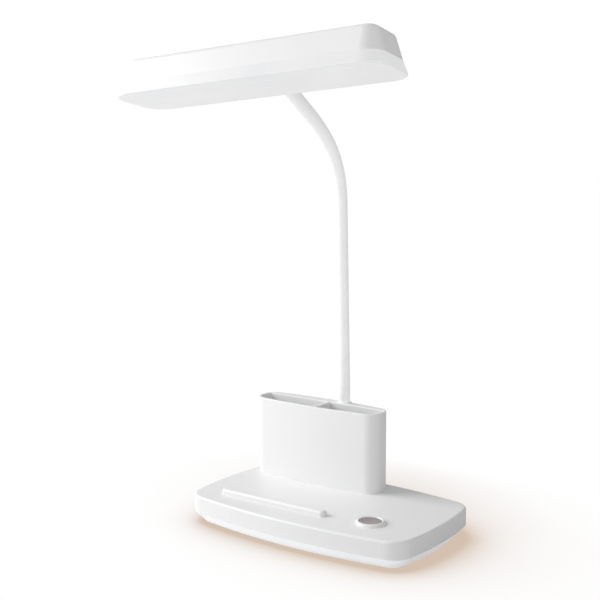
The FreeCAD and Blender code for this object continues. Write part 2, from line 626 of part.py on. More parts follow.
def power_button():
    """The button: dished cap, flange under the bezel and stem onto the switch."""
    axis = Vec(BUTTON_X, BUTTON_Y, 0)
    cap_low = BUTTON_TOP - BUTTON_THICKNESS
    cap = cylinder(BUTTON_RADIUS, BUTTON_THICKNESS, axis + Vec(0, 0, cap_low))
    cap = cap.makeFillet(BUTTON_EDGE, edges_at(cap, BUTTON_TOP))
    ball_radius = (BUTTON_DISH_RADIUS**2 + BUTTON_DISH**2) / (2 * BUTTON_DISH)
    dish = Part.makeSphere(ball_radius, axis + Vec(0, 0, BUTTON_TOP - BUTTON_DISH + ball_radius))
    neck_height = cap_low - BUTTON_FLANGE_TOP
    neck = cylinder(BUTTON_RADIUS, neck_height, axis + Vec(0, 0, BUTTON_FLANGE_TOP))
    flange = cylinder(BUTTON_FLANGE_RADIUS, BUTTON_FLANGE_HEIGHT, axis + Vec(0, 0, BUTTON_FLANGE_BOTTOM))
    stem = cylinder(BUTTON_STEM_RADIUS, BUTTON_FLANGE_BOTTOM - BUTTON_STEM_BOTTOM,
                    axis + Vec(0, 0, BUTTON_STEM_BOTTOM))
    return joined(cap.cut(dish), neck, flange, stem)


def switch_plunger():
    """The tact switch's own plunger, which the button's stem presses."""
    foot = SWITCH_TOP - PLUNGER_SEAT
    return cylinder(PLUNGER_RADIUS, BUTTON_STEM_BOTTOM - foot, Vec(BUTTON_X, BUTTON_Y, foot))


def tact_switch():
    """The switch's square body with its plunger's well and four feet."""
    body = slab(SWITCH_SIDE, SWITCH_SIDE, SWITCH_CORNER, BOARD_TOP, SWITCH_TOP, BUTTON_X, BUTTON_Y)
    well_depth = PLUNGER_SEAT + BUTTON_TRAVEL + FIT_GAP
    well = cylinder(PLUNGER_RADIUS + FIT_GAP, well_depth, Vec(BUTTON_X, BUTTON_Y, SWITCH_TOP - well_depth))
    reach = (SWITCH_SIDE + SWITCH_FOOT_LENGTH) / 2 - FIT_GAP
    feet = [
        block(SWITCH_FOOT_LENGTH, SWITCH_FOOT_WIDTH, BOARD_TOP, BOARD_TOP + SWITCH_FOOT_HEIGHT,
              BUTTON_X + sx * reach, BUTTON_Y + sy * SWITCH_FOOT_SPREAD)
        for sx in (-1, 1) for sy in (-1, 1)
    ]
    return joined(body.cut(well), *feet)


def control_board():
    """The board under the button, with its driver chips and connector."""
    board = slab(BOARD_LENGTH, BOARD_DEPTH, BOARD_CORNER, BOARD_BOTTOM, BOARD_TOP, BOARD_CENTRE_X, BUTTON_Y)
    holes = [cylinder(SMALL_SHANK / 2 + FIT_GAP, BOARD_THICKNESS, Vec(x, y, BOARD_BOTTOM))
             for x, y in board_screw_places()]
    end = BOARD_CENTRE_X - BOARD_LENGTH / 2
    row = end + POWER_PARTS_INSET
    chip = block(CHIP_LENGTH, CHIP_WIDTH, BOARD_TOP, BOARD_TOP + CHIP_HEIGHT,
                 row, BUTTON_Y + POWER_PARTS_SPREAD)
    coil = cylinder(COIL_RADIUS, COIL_HEIGHT, Vec(row, BUTTON_Y - POWER_PARTS_SPREAD, BOARD_TOP))
    plug = block(PLUG_WIDTH, PLUG_LENGTH, BOARD_BOTTOM - PLUG_HEIGHT, BOARD_BOTTOM,
                 end + PLUG_INSET, BUTTON_Y)
    return joined(board.cut(holes), chip, coil, plug)


def board_screws():
    """The two screws that hold the control board to the shell's bosses."""
    return group(
        screw(SMALL_HEAD / 2, SMALL_HEAD_HEIGHT, SMALL_SHANK / 2, BOARD_THICKNESS + BOARD_SCREW_BITE,
              SMALL_DRIVE, Vec(x, y, BOARD_BOTTOM - SMALL_HEAD_HEIGHT))
        for x, y in board_screw_places()
    )


# ---------------------------------------------------------------- charging inlet
def back_wall_y(x):
    """Outer face of the base's back wall at a distance x from the middle."""
    return BASE_DEPTH / 2 - BASE_FRONT_BOW * (x / (BASE_WIDTH / 2 - BASE_SIDE_BOW)) ** 2


def inlet_mouth_y():
    """The inlet's mouth, just inside the back wall's outer face."""
    return back_wall_y(INLET_X + INLET_WIDTH / 2) - INLET_SETBACK


def charge_board_z():
    """Underside of the charge board, which carries the inlet."""
    return INLET_Z - INLET_HEIGHT / 2 - CHARGE_BOARD_THICKNESS


def charge_board_y():
    """Middle of the charge board in Y."""
    inner_wall = back_wall_y(INLET_X + CHARGE_BOARD_WIDTH / 2) - SHELL_WALL - TRAY_LIP_WALL - 2 * FIT_GAP
    return inner_wall - CHARGE_BOARD_DEPTH / 2


def charge_post_places():
    """Plan positions of the two posts under the charge board."""
    return [(INLET_X + s * CHARGE_POST_SPREAD, charge_board_y() - CHARGE_POST_SETBACK) for s in (-1, 1)]


def charge_board():
    """The small board that carries the inlet, held on two pegs."""
    z_low = charge_board_z()
    board = slab(CHARGE_BOARD_WIDTH, CHARGE_BOARD_DEPTH, CHARGE_BOARD_CORNER,
                 z_low, z_low + CHARGE_BOARD_THICKNESS, INLET_X, charge_board_y())
    holes = [cylinder(CHARGE_PEG_RADIUS, CHARGE_BOARD_THICKNESS, Vec(x, y, z_low))
             for x, y in charge_post_places()]
    return board.cut(holes)


def flat_oval(width, height, depth, mouth_y):
    """A bar with a flat oval section, running in from its mouth along -Y."""
    bar = Part.makeBox(width, depth, height, Vec(INLET_X - width / 2, mouth_y - depth, INLET_Z - height / 2))
    along = [e for e in bar.Edges
             if abs(e.BoundBox.YLength - depth) < SAME_PLACE and e.BoundBox.XLength < SAME_PLACE]
    return bar.makeFillet(height * ROUND_SHARE, along)


def usb_inlet():
    """The inlet's metal sleeve, closed behind, with the contact tongue inside."""
    mouth = inlet_mouth_y()
    hollow_depth = INLET_DEPTH - INLET_BACK
    sleeve = flat_oval(INLET_WIDTH, INLET_HEIGHT, INLET_DEPTH, mouth)
    hollow = flat_oval(INLET_WIDTH - 2 * INLET_WALL, INLET_HEIGHT - 2 * INLET_WALL, hollow_depth, mouth)
    root = mouth - hollow_depth - JOIN_OVERLAP
    tongue = Part.makeBox(TONGUE_WIDTH, mouth - TONGUE_SETBACK - root, TONGUE_THICKNESS,
                          Vec(INLET_X - TONGUE_WIDTH / 2, root, INLET_Z - TONGUE_THICKNESS / 2))
    return joined(sleeve.cut(hollow), tongue)


# ---------------------------------------------------------------- pen cup
def cup_slab(inset, z_low, z_high):
    """The cup's outline without its column, drawn in by an inset."""
    return bowed_slab(CUP_WIDTH - 2 * inset, CUP_DEPTH - 2 * inset, CUP_BOW, CUP_SIDE_BOW,
                      CUP_CORNER - inset, z_low, z_high, (CUP_CENTRE_X, CUP_CENTRE_Y))


def cup_compartment(x_low, x_high):
    """The hollow of the cup between two side limits, in front of the neck's column."""
    floor = BASE_HEIGHT + CUP_FLOOR
    hollow = cup_slab(CUP_WALL, floor, RIM_HEIGHT)
    front = CUP_FRONT_Y - CUT_OVERRUN
    keep = block(x_high - x_low, CUP_BACK_INSIDE_Y - front, floor, RIM_HEIGHT,
                 (x_low + x_high) / 2, (CUP_BACK_INSIDE_Y + front) / 2)
    hollow = hollow.common(keep)
    sharp = [e for e in upright_edges(hollow)
             if e.BoundBox.YMax > CUP_BACK_INSIDE_Y - SAME_PLACE or near_divider(e)]
    return hollow.makeFillet(COMPARTMENT_CORNER, sharp)


def near_divider(edge):
    """Whether an edge runs beside the divider."""
    return abs(edge.BoundBox.Center.x - DIVIDER_X) < DIVIDER_WALL


def pen_cup():
    """The pen cup: two compartments, a thick back wall and the column that holds the neck."""
    body = cup_slab(0, BASE_HEIGHT, RIM_HEIGHT)
    column = cylinder(SLEEVE_RADIUS + COLUMN_WALL, CUP_HEIGHT, Vec(NECK_X, NECK_Y, BASE_HEIGHT))
    body = body.fuse(column)
    creases = []
    for edge in upright_edges(body):
        place = edge.BoundBox.Center
        reach = math.hypot(place.x - NECK_X, place.y - NECK_Y)
        if place.y > CUP_BACK_INSIDE_Y and abs(reach - SLEEVE_RADIUS - COLUMN_WALL) < SAME_PLACE:
            creases.append(edge)
    body = body.makeFillet(COLUMN_BLEND, creases)
    edge_x = CUP_WIDTH / 2
    left = cup_compartment(CUP_CENTRE_X - edge_x, DIVIDER_X - DIVIDER_WALL / 2)
    right = cup_compartment(DIVIDER_X + DIVIDER_WALL / 2, CUP_CENTRE_X + edge_x)
    body = body.cut([left, right])
    body = body.makeFillet(CUP_RIM_EDGE, edges_at(body, RIM_HEIGHT))
    cutters = [
        cylinder(SLEEVE_RADIUS + BONDED_GAP, STUD_SEAT_DEPTH, Vec(NECK_X, NECK_Y, STUD_SEAT)),
        cylinder(STUD_RADIUS + FIT_GAP, CUP_HEIGHT, Vec(NECK_X, NECK_Y, BASE_HEIGHT)),
    ]
    for x, y in cup_screw_places():
        cutters.append(cylinder(SCREW_SHANK / 2, CUP_SCREW_LENGTH, Vec(x, y, BASE_HEIGHT)))
    return body.cut(cutters)


def cup_screws():
    """The two screws that hold the cup, driven up through the shell's roof."""
    return group(
        screw(SCREW_HEAD / 2, SCREW_HEAD_HEIGHT, SCREW_SHANK / 2, CUP_SCREW_LENGTH, SCREW_DRIVE,
              Vec(x, y, ROOF_UNDERSIDE - SCREW_HEAD_HEIGHT))
        for x, y in cup_screw_places()
    )


# ---------------------------------------------------------------- gooseneck
class NeckPath:
    """The neck's centreline: straights and arcs that meet tangentially in one upright plane."""

    def __init__(self):
        heading = math.radians(NECK_HEADING)
        self.forward = Vec(math.sin(heading), -math.cos(heading), 0)
        self.root = Vec(NECK_X, NECK_Y, NECK_FOOT)
        self.stretches = []
        place, along = (0.0, 0.0), 0.0
        angle = 90.0
        turns = [
            (None, RIM_HEIGHT - NECK_FOOT),
            (NECK_LEAN_RADIUS, NECK_LEAN_ANGLE),
            (None, NECK_STRAIGHT),
            (NECK_CROOK_RADIUS, NECK_CROOK_ANGLE),
            (NECK_REACH_RADIUS, NECK_REACH_ANGLE),
            (None, NECK_ARM),
            (NECK_ENTRY_RADIUS, NECK_ENTRY_ANGLE),
            (None, NECK_TAIL),
        ]
        for radius, value in turns:
            length = value if radius is None else radius * math.radians(angle - value)
            self.stretches.append((along, along + length, radius, angle, place))
            place = self.flat_point(along + length)
            along += length
            angle = angle if radius is None else value
        self.length = along

    def stretch_at(self, along):
        """The stretch that holds a station; the last one runs on past its end."""
        for stretch in self.stretches:
            if along <= stretch[1]:
                return stretch
        return self.stretches[-1]

    def angle(self, along):
        """Degrees above the horizontal at a station."""
        start, end, radius, angle, _ = self.stretch_at(along)
        if radius is None:
            return angle
        return angle - math.degrees((min(along, end) - start) / radius)

    def flat_point(self, along):
        """Reach forward and height above the neck's foot at a station."""
        start, _, radius, angle, (reach, height) = self.stretch_at(along)
        first = math.radians(angle)
        if radius is None:
            run = along - start
            return reach + run * math.cos(first), height + run * math.sin(first)
        last = math.radians(self.angle(along))
        return (reach + radius * (math.sin(first) - math.sin(last)),
                height + radius * (math.cos(last) - math.cos(first)))

    def point(self, along):
        """The centreline's point at a station."""
        reach, height = self.flat_point(along)
        return self.root + self.forward * reach + Z_AXIS * height

    def tangent(self, along):
        """The centreline's direction at a station, towards the head."""
        slope = math.radians(self.angle(along))
        return self.forward * math.cos(slope) + Z_AXIS * math.sin(slope)

    def wire(self, start, end):
        """The centreline between two stations as one wire."""
        edges = []
        for low, high, radius, _, _ in self.stretches:
            first, last = max(start, low), min(end, high)
            if last <= first:
                continue
            if radius is None:
                edges.append(Part.makeLine(self.point(first), self.point(last)))
            else:
                middle = self.point((first + last) / 2)
                edges.append(Part.Arc(self.point(first), middle, self.point(last)).toShape())
        return Part.Wire(edges)

    def bar(self, start, end, radius):
        """A round bar along the centreline between two stations."""
        profile = Part.Wire([Part.makeCircle(radius, self.point(start), self.tangent(start))])
        return self.wire(start, end).makePipeShell([profile], True, False)


NECK = NeckPath()
SLEEVE_END = NECK.length - NECK_BOSS_LENGTH - FERRULE_FLANGE


def joint_stations():
    """Stations along the neck at which one link bends on the next, in turn forwards and sideways."""
    first = RIM_HEIGHT - NECK_FOOT + FIRST_JOINT
    pitch = (SLEEVE_END - LAST_JOINT - first) / (JOINT_COUNT - 1)
    return [first + k * pitch for k in range(JOINT_COUNT)]


def neck_link(start, end, outer, inner, hollow_foot, round_head):
    """One link of a tube along the neck, with a hollow foot and a round head for its joints."""
    tube = NECK.bar(start, end, outer)
    if round_head:
        centre, direction = NECK.point(end), NECK.tangent(end)
        dome = cylinder(outer, SLEEVE_RADIUS, centre, direction)
        tube = tube.fuse(dome.common(Part.makeSphere(SLEEVE_RADIUS, centre)))
    bore = NECK.bar(start, end, inner)
    if round_head:
        bore = bore.fuse(cylinder(inner, SLEEVE_RADIUS, NECK.point(end), NECK.tangent(end)))
    tube = tube.cut(bore)
    if hollow_foot:
        tube = tube.cut(Part.makeSphere(SLEEVE_RADIUS + SOCKET_GAP, NECK.point(start)))
    return tube


def neck_links():
    """The sleeve and the hose of every link, by node name, from the cup to the head."""
    parts = {}
    stations = joint_stations()
    for index in range(len(stations) + 1):
        first, last = index == 0, index == len(stations)
        start = 0.0 if first else stations[index - 1]
        end = SLEEVE_END if last else stations[index]
        hose_end = SLEEVE_END + FERRULE_FLANGE + NECK_BOSS_LENGTH if last else end
        sleeve = neck_link(start, end, SLEEVE_RADIUS, HOSE_RADIUS + BONDED_GAP, not first, not last)
        parts[f"neck_sleeve_{index}"] = sleeve
        parts[f"neck_hose_{index}"] = neck_link(start, hose_end, HOSE_RADIUS, HOSE_BORE, not first, not last)
    return parts


def neck_stud():
    """The gooseneck's threaded foot: collar on the cup's shoulder, tube down through the roof."""
    foot = ROOF_UNDERSIDE - WASHER_THICKNESS - NUT_HEIGHT - STUD_TAIL
    collar = cylinder(SLEEVE_RADIUS, STUD_COLLAR_HEIGHT, Vec(NECK_X, NECK_Y, STUD_SEAT))
    tube = cylinder(STUD_RADIUS, STUD_SEAT - foot, Vec(NECK_X, NECK_Y, foot))
    bore = cylinder(HOSE_BORE, STUD_SEAT + STUD_COLLAR_HEIGHT - foot, Vec(NECK_X, NECK_Y, foot))
    return joined(collar, tube).cut(bore)


def neck_washer():
    """The washer between the roof and the nut."""
    base = Vec(NECK_X, NECK_Y, ROOF_UNDERSIDE - WASHER_THICKNESS)
    return ring(WASHER_RADIUS, STUD_RADIUS + FIT_GAP, WASHER_THICKNESS, base)


def neck_nut():
    """The nut that pulls the neck, the cup and the shell together."""
    base = Vec(NECK_X, NECK_Y, ROOF_UNDERSIDE - WASHER_THICKNESS - NUT_HEIGHT)
    return hexagon(NUT_FLATS, NUT_HEIGHT, base).cut(cylinder(STUD_RADIUS + BONDED_GAP, NUT_HEIGHT, base))


# ---------------------------------------------------------------- head
def head_inset(z):
    """How far the head's outline draws in at a height above the diffuser's face."""
    if z <= HEAD_SEAM:
        return HEAD_SEAM_INSET * z / HEAD_SEAM
    share = (z - HEAD_SEAM) / (HEAD_HEIGHT - HEAD_SEAM)
    return HEAD_SEAM_INSET + share * (HEAD_CROWN_INSET - HEAD_SEAM_INSET)


def head_slab(inset, z_low, z_high):
    """The head's outline, drawn in by an inset, as a slab."""
    return slab(HEAD_LENGTH - 2 * inset, HEAD_DEPTH - 2 * inset, HEAD_CORNER - inset, z_low, z_high)


def head_taper(z_low, z_high, wall_low=0.0, wall_high=None):
    """The head's tapering form between two heights, drawn in further by a wall."""
    wall_high = wall_low if wall_high is None else wall_high
    low = head_slab(head_inset(z_low) + wall_low, z_low, z_high)
    high = head_slab(head_inset(z_high) + wall_high, z_low, z_high)
    return tapered(low, z_low, high, z_high)


HEAD_ROTATION = FreeCAD.Rotation(HEAD_TURN, HEAD_LEAN, HEAD_TILT)
NECK_ENTRY = Vec(0, HEAD_DEPTH / 2 - head_inset(NECK_ENTRY_HEIGHT), NECK_ENTRY_HEIGHT)
HEAD_PLACE = FreeCAD.Placement(NECK.point(NECK.length) - HEAD_ROTATION.multVec(NECK_ENTRY), HEAD_ROTATION)


def in_head(shape):
    """A shape made in the head's own frame, moved to where the head hangs."""
    return shape.transformed(HEAD_PLACE.toMatrix())


def shade_hollow(gap=0.0):
    """The inside of the shade, drawn in from its walls by a gap."""
    hollow = head_taper(HEAD_SEAM, SHADE_CEILING, SHADE_WALL + gap)
    return hollow.makeFillet(SHADE_EDGE - SHADE_WALL, edges_at(hollow, SHADE_CEILING))


def neck_axis_bar(radius, outside, inside):
    """A round bar on the neck's end axis, in the head's frame, from outside to inside the wall."""
    direction = HEAD_ROTATION.inverted().multVec(NECK.tangent(NECK.length))
    return cylinder(radius, outside + inside, NECK_ENTRY - direction * outside, direction)


def led_screw_places():
    """Plan positions of the LED board's screws, in the head's frame."""
    return [(-LED_SCREW_X, 0.0), (0.0, 0.0), (LED_SCREW_X, 0.0)]


def clamp_centre_y():
    """Middle of the neck clamp in Y, in the head's frame: it grips the ferrule's inner end."""
    return NECK_ENTRY.y - FERRULE_INSIDE + CLAMP_GRIP


def clamp_screw_places():
    """Plan positions of the neck clamp's screws, in the head's frame."""
    return [(s * CLAMP_SCREW_SPREAD, clamp_centre_y()) for s in (-1, 1)]


def head_shade():
    """The upper moulding of the head: sloping walls, rounded crown, bosses and the neck's boss."""
    outer = head_taper(HEAD_SEAM, HEAD_HEIGHT)
    outer = outer.makeFillet(SHADE_EDGE, edges_at(outer, HEAD_HEIGHT))
    boss = neck_axis_bar(NECK_BOSS_RADIUS, NECK_BOSS_LENGTH, SHADE_WALL)
    shade = outer.fuse(boss.common(block(HEAD_LENGTH, HEAD_DEPTH * 2, HEAD_SEAM, HEAD_HEIGHT)))
    shade = shade.cut(shade_hollow())
    bosses = []
    for x, y in led_screw_places():
        height = SHADE_CEILING - LED_BOARD_TOP + JOIN_OVERLAP
        bosses.append(cylinder(LED_BOSS_RADIUS, height, Vec(x, y, LED_BOARD_TOP)))
    shade = joined(shade, *bosses)
    bore = FERRULE_RADIUS + BONDED_GAP
    cutters = [neck_axis_bar(bore, NECK_BOSS_LENGTH + CUT_OVERRUN, SHADE_WALL + bore)]
    for x, y in led_screw_places():
        cutters.append(cylinder(SMALL_SHANK / 2, LED_SCREW_BITE + HOLE_OVERRUN, Vec(x, y, LED_BOARD_TOP)))
    foot = SHADE_CEILING - CLAMP_SCREW_BITE
    for x, y in clamp_screw_places():
        cutters.append(cylinder(SMALL_SHANK / 2, 2 * CLAMP_SCREW_BITE, Vec(x, y, foot)))
    return shade.cut(cutters)


def head_diffuser():
    """The milky pan under the head, with a lip that plugs into the shade."""
    pan = head_taper(0, HEAD_SEAM)
    pan = pan.makeFillet(DIFFUSER_EDGE, edges_at(pan, 0))
    lip_outer = SHADE_WALL + FIT_GAP
    lip_inner = lip_outer + DIFFUSER_LIP_WALL
    hollow = head_taper(DIFFUSER_WALL, HEAD_SEAM, DIFFUSER_WALL, lip_inner)
    lip_top = HEAD_SEAM + DIFFUSER_LIP_HEIGHT
    lip = head_taper(HEAD_SEAM, lip_top, lip_outer).cut(head_taper(HEAD_SEAM, lip_top, lip_inner))
    return joined(pan.cut(hollow), lip)


def led_board():
    """The long board that carries the lights."""
    board = slab(LED_BOARD_LENGTH, LED_BOARD_DEPTH, LED_BOARD_CORNER, LED_BOARD_Z, LED_BOARD_TOP)
    holes = [cylinder(SMALL_SHANK / 2 + FIT_GAP, LED_BOARD_THICKNESS, Vec(x, y, LED_BOARD_Z))
             for x, y in led_screw_places()]
    return board.cut(holes)


def led_chips():
    """The lights, in rows under the board."""
    chips = []
    for row in range(LED_ROWS):
        for column in range(LED_COLUMNS):
            x = (column - (LED_COLUMNS - 1) / 2) * LED_PITCH_X
            y = (row - (LED_ROWS - 1) / 2) * LED_PITCH_Y
            chips.append(block(LED_LENGTH, LED_DEPTH, LED_BOARD_Z - LED_HEIGHT, LED_BOARD_Z, x, y))
    return group(chips)


def led_screws():
    """The screws that hold the LED board to the shade's bosses."""
    return group(
        screw(SMALL_HEAD / 2, SMALL_HEAD_HEIGHT, SMALL_SHANK / 2, LED_BOARD_THICKNESS + LED_SCREW_BITE,
              SMALL_DRIVE, Vec(x, y, LED_BOARD_Z - SMALL_HEAD_HEIGHT))
        for x, y in led_screw_places()
    )


def neck_ferrule():
    """The metal sleeve on the neck's end, with a flange against the shade's boss."""
    tube = neck_axis_bar(FERRULE_RADIUS, NECK_BOSS_LENGTH, FERRULE_INSIDE)
    flange = neck_axis_bar(FERRULE_FLANGE_RADIUS, NECK_BOSS_LENGTH + FERRULE_FLANGE, -NECK_BOSS_LENGTH)
    ferrule = joined(tube, flange)
    outside = NECK_BOSS_LENGTH + FERRULE_FLANGE
    ferrule = ferrule.cut(neck_axis_bar(HOSE_RADIUS + BONDED_GAP, outside + CUT_OVERRUN, 0.0))
    return ferrule.cut(neck_axis_bar(HOSE_BORE, outside + CUT_OVERRUN, FERRULE_INSIDE))


def neck_clamp():
    """The block under the shade's roof that grips the ferrule."""
    foot = LED_BOARD_TOP + CLAMP_CLEARANCE
    body = slab(CLAMP_WIDTH, CLAMP_DEPTH, CLAMP_CORNER, foot, SHADE_CEILING, 0, clamp_centre_y())
    body = body.common(shade_hollow(FIT_GAP))
    cutters = [neck_axis_bar(FERRULE_RADIUS + BONDED_GAP, 0, FERRULE_INSIDE + CLAMP_DEPTH)]
    for x, y in clamp_screw_places():
        cutters.append(cylinder(SMALL_SHANK / 2 + FIT_GAP, SHADE_CEILING - foot, Vec(x, y, foot)))
        cutters.append(cylinder(SMALL_HEAD / 2 + FIT_GAP, clamp_screw_foot() + SMALL_HEAD_HEIGHT - foot,
                                Vec(x, y, foot)))
    return body.cut(cutters)


def clamp_screw_foot():
    """Height of the clamp screws' heads, sunk in the clamp."""
    return LED_BOARD_TOP + CLAMP_SCREW_HEIGHT


def clamp_screws():
    """The two screws that hold the clamp to the shade's roof."""
    length = SHADE_CEILING - clamp_screw_foot() - SMALL_HEAD_HEIGHT + CLAMP_SCREW_BITE
    return group(
        screw(SMALL_HEAD / 2, SMALL_HEAD_HEIGHT, SMALL_SHANK / 2, length, SMALL_DRIVE,
              Vec(x, y, clamp_screw_foot()))
        for x, y in clamp_screw_places()
    )


# ---------------------------------------------------------------- all pieces
BASE_PIECES = [
    base_shell, base_tray, base_pad, base_screws, battery_pack, counterweight, button_bezel, power_button,
    switch_plunger, tact_switch, control_board, board_screws, charge_board, usb_inlet, pen_cup, cup_screws,
    neck_stud, neck_washer, neck_nut,
]
HEAD_PIECES = [
    head_shade, head_diffuser, led_board, led_chips, led_screws, neck_ferrule, neck_clamp, clamp_screws,
]


def all_parts():
    """Every piece by its node name."""
    parts = {piece.__name__: piece() for piece in BASE_PIECES}
    parts.update({piece.__name__: in_head(piece()) for piece in HEAD_PIECES})
    parts.update(neck_links())
    return parts


def main():
    """Write one STEP file for each piece."""
    os.makedirs("parts", exist_ok=True)
    for name, shape in all_parts().items():
        shape.exportStep(f"parts/{name}.step")


if __name__ == "__main__":
    main()
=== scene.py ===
"""Dresses a rechargeable desk lamp: low base with pen cup and power button, bendable neck, long light bar."""

import logging
import math
from abc import ABC, abstractmethod
from dataclasses import dataclass, field
from enum import Enum
from typing import Any, Iterable, Optional, Union

import bmesh
import bpy
from mathutils import Matrix, Vector


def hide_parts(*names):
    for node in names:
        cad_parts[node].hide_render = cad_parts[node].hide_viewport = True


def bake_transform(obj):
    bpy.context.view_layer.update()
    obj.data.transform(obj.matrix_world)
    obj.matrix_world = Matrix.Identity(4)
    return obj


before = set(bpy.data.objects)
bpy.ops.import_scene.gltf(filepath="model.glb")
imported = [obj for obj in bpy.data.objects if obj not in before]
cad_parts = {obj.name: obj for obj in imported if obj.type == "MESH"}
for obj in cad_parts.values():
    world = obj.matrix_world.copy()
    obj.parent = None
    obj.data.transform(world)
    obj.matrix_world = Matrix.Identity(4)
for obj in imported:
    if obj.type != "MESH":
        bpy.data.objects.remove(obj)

LOG = logging.getLogger("desk_lamp")
MM = 0.001
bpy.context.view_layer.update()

Colour = tuple[float, float, float]
Triple = tuple[float, float, float]
Number = Union[int, float]

MICRON = 1e-6
FULL_TURN = 2.0 * math.pi
WELD_DISTANCE = 1e-7
SHARP_ANGLE = math.radians(35.0)
ORIGIN: Triple = (0.0, 0.0, 0.0)
PURE_WHITE: Colour = (1.0, 1.0, 1.0)
WHITE_PLASTIC: tuple[Colour, Colour] = ((0.86, 0.86, 0.865), (0.83, 0.83, 0.835))


# ---------------------------------------------------------------- shader maths


class Signal:
    """One output of a material's nodes, with arithmetic that adds Math nodes."""

    def __init__(self, sheet: "NodeSheet", socket: bpy.types.NodeSocket) -> None:
        """Wraps a socket of a sheet."""
        self.sheet = sheet
        self.socket = socket

    def _math(self, operation: str, *values: Union["Signal", Number]) -> "Signal":
        """Adds one Math node.

        Args:
            operation: the Math node's operation.
            values: its inputs in order, signals or numbers.

        Returns:
            The node's output.
        """
        node = self.sheet.add("ShaderNodeMath", {"operation": operation}, dict(enumerate(values)))
        return Signal(self.sheet, node.outputs[0])

    def __add__(self, other: Union["Signal", Number]) -> "Signal":
        """self + other."""
        return self._math("ADD", self, other)

    def __radd__(self, other: Number) -> "Signal":
        """other + self."""
        return self._math("ADD", other, self)

    def __sub__(self, other: Union["Signal", Number]) -> "Signal":
        """self - other."""
        return self._math("SUBTRACT", self, other)

    def __rsub__(self, other: Number) -> "Signal":
        """other - self."""
        return self._math("SUBTRACT", other, self)

    def __mul__(self, other: Union["Signal", Number]) -> "Signal":
        """self * other."""
        return self._math("MULTIPLY", self, other)

    def __rmul__(self, other: Number) -> "Signal":
        """other * self."""
        return self._math("MULTIPLY", other, self)

    def __truediv__(self, other: Union["Signal", Number]) -> "Signal":
        """self / other."""
        return self._math("DIVIDE", self, other)

    def __pow__(self, other: Union["Signal", Number]) -> "Signal":
        """self to the power of other."""
        return self._math("POWER", self, other)

    def sine(self) -> "Signal":
        """The sine, from -1 to 1."""
        return self._math("SINE", self)

    def size(self) -> "Signal":
        """The absolute value."""
        return self._math("ABSOLUTE", self)

    def fraction(self) -> "Signal":
        """The part after the decimal point."""
        return self._math("FRACT", self)

    def most(self, other: Union["Signal", Number]) -> "Signal":
        """The larger of the two."""
        return self._math("MAXIMUM", self, other)

    def eased(self, low: float, high: float) -> "Signal":
        """Rises smoothly from 0 at low to 1 at high.

        Args:
            low: value at which the rise starts.
            high: value at which it ends; below low for a fall.

        Returns:
            A signal from 0 to 1.
        """
        settings = {"interpolation_type": "SMOOTHSTEP", "clamp": True}
        inputs = {0: self, 1: low, 2: high, 3: 0.0, 4: 1.0}
        if high < low:
            inputs = {0: self, 1: high, 2: low, 3: 1.0, 4: 0.0}
        node = self.sheet.add("ShaderNodeMapRange", settings, inputs)
        return Signal(self.sheet, node.outputs[0])


Input = Union[Signal, bpy.types.NodeSocket, Number, tuple]
Inputs = dict[Union[str, int], Input]


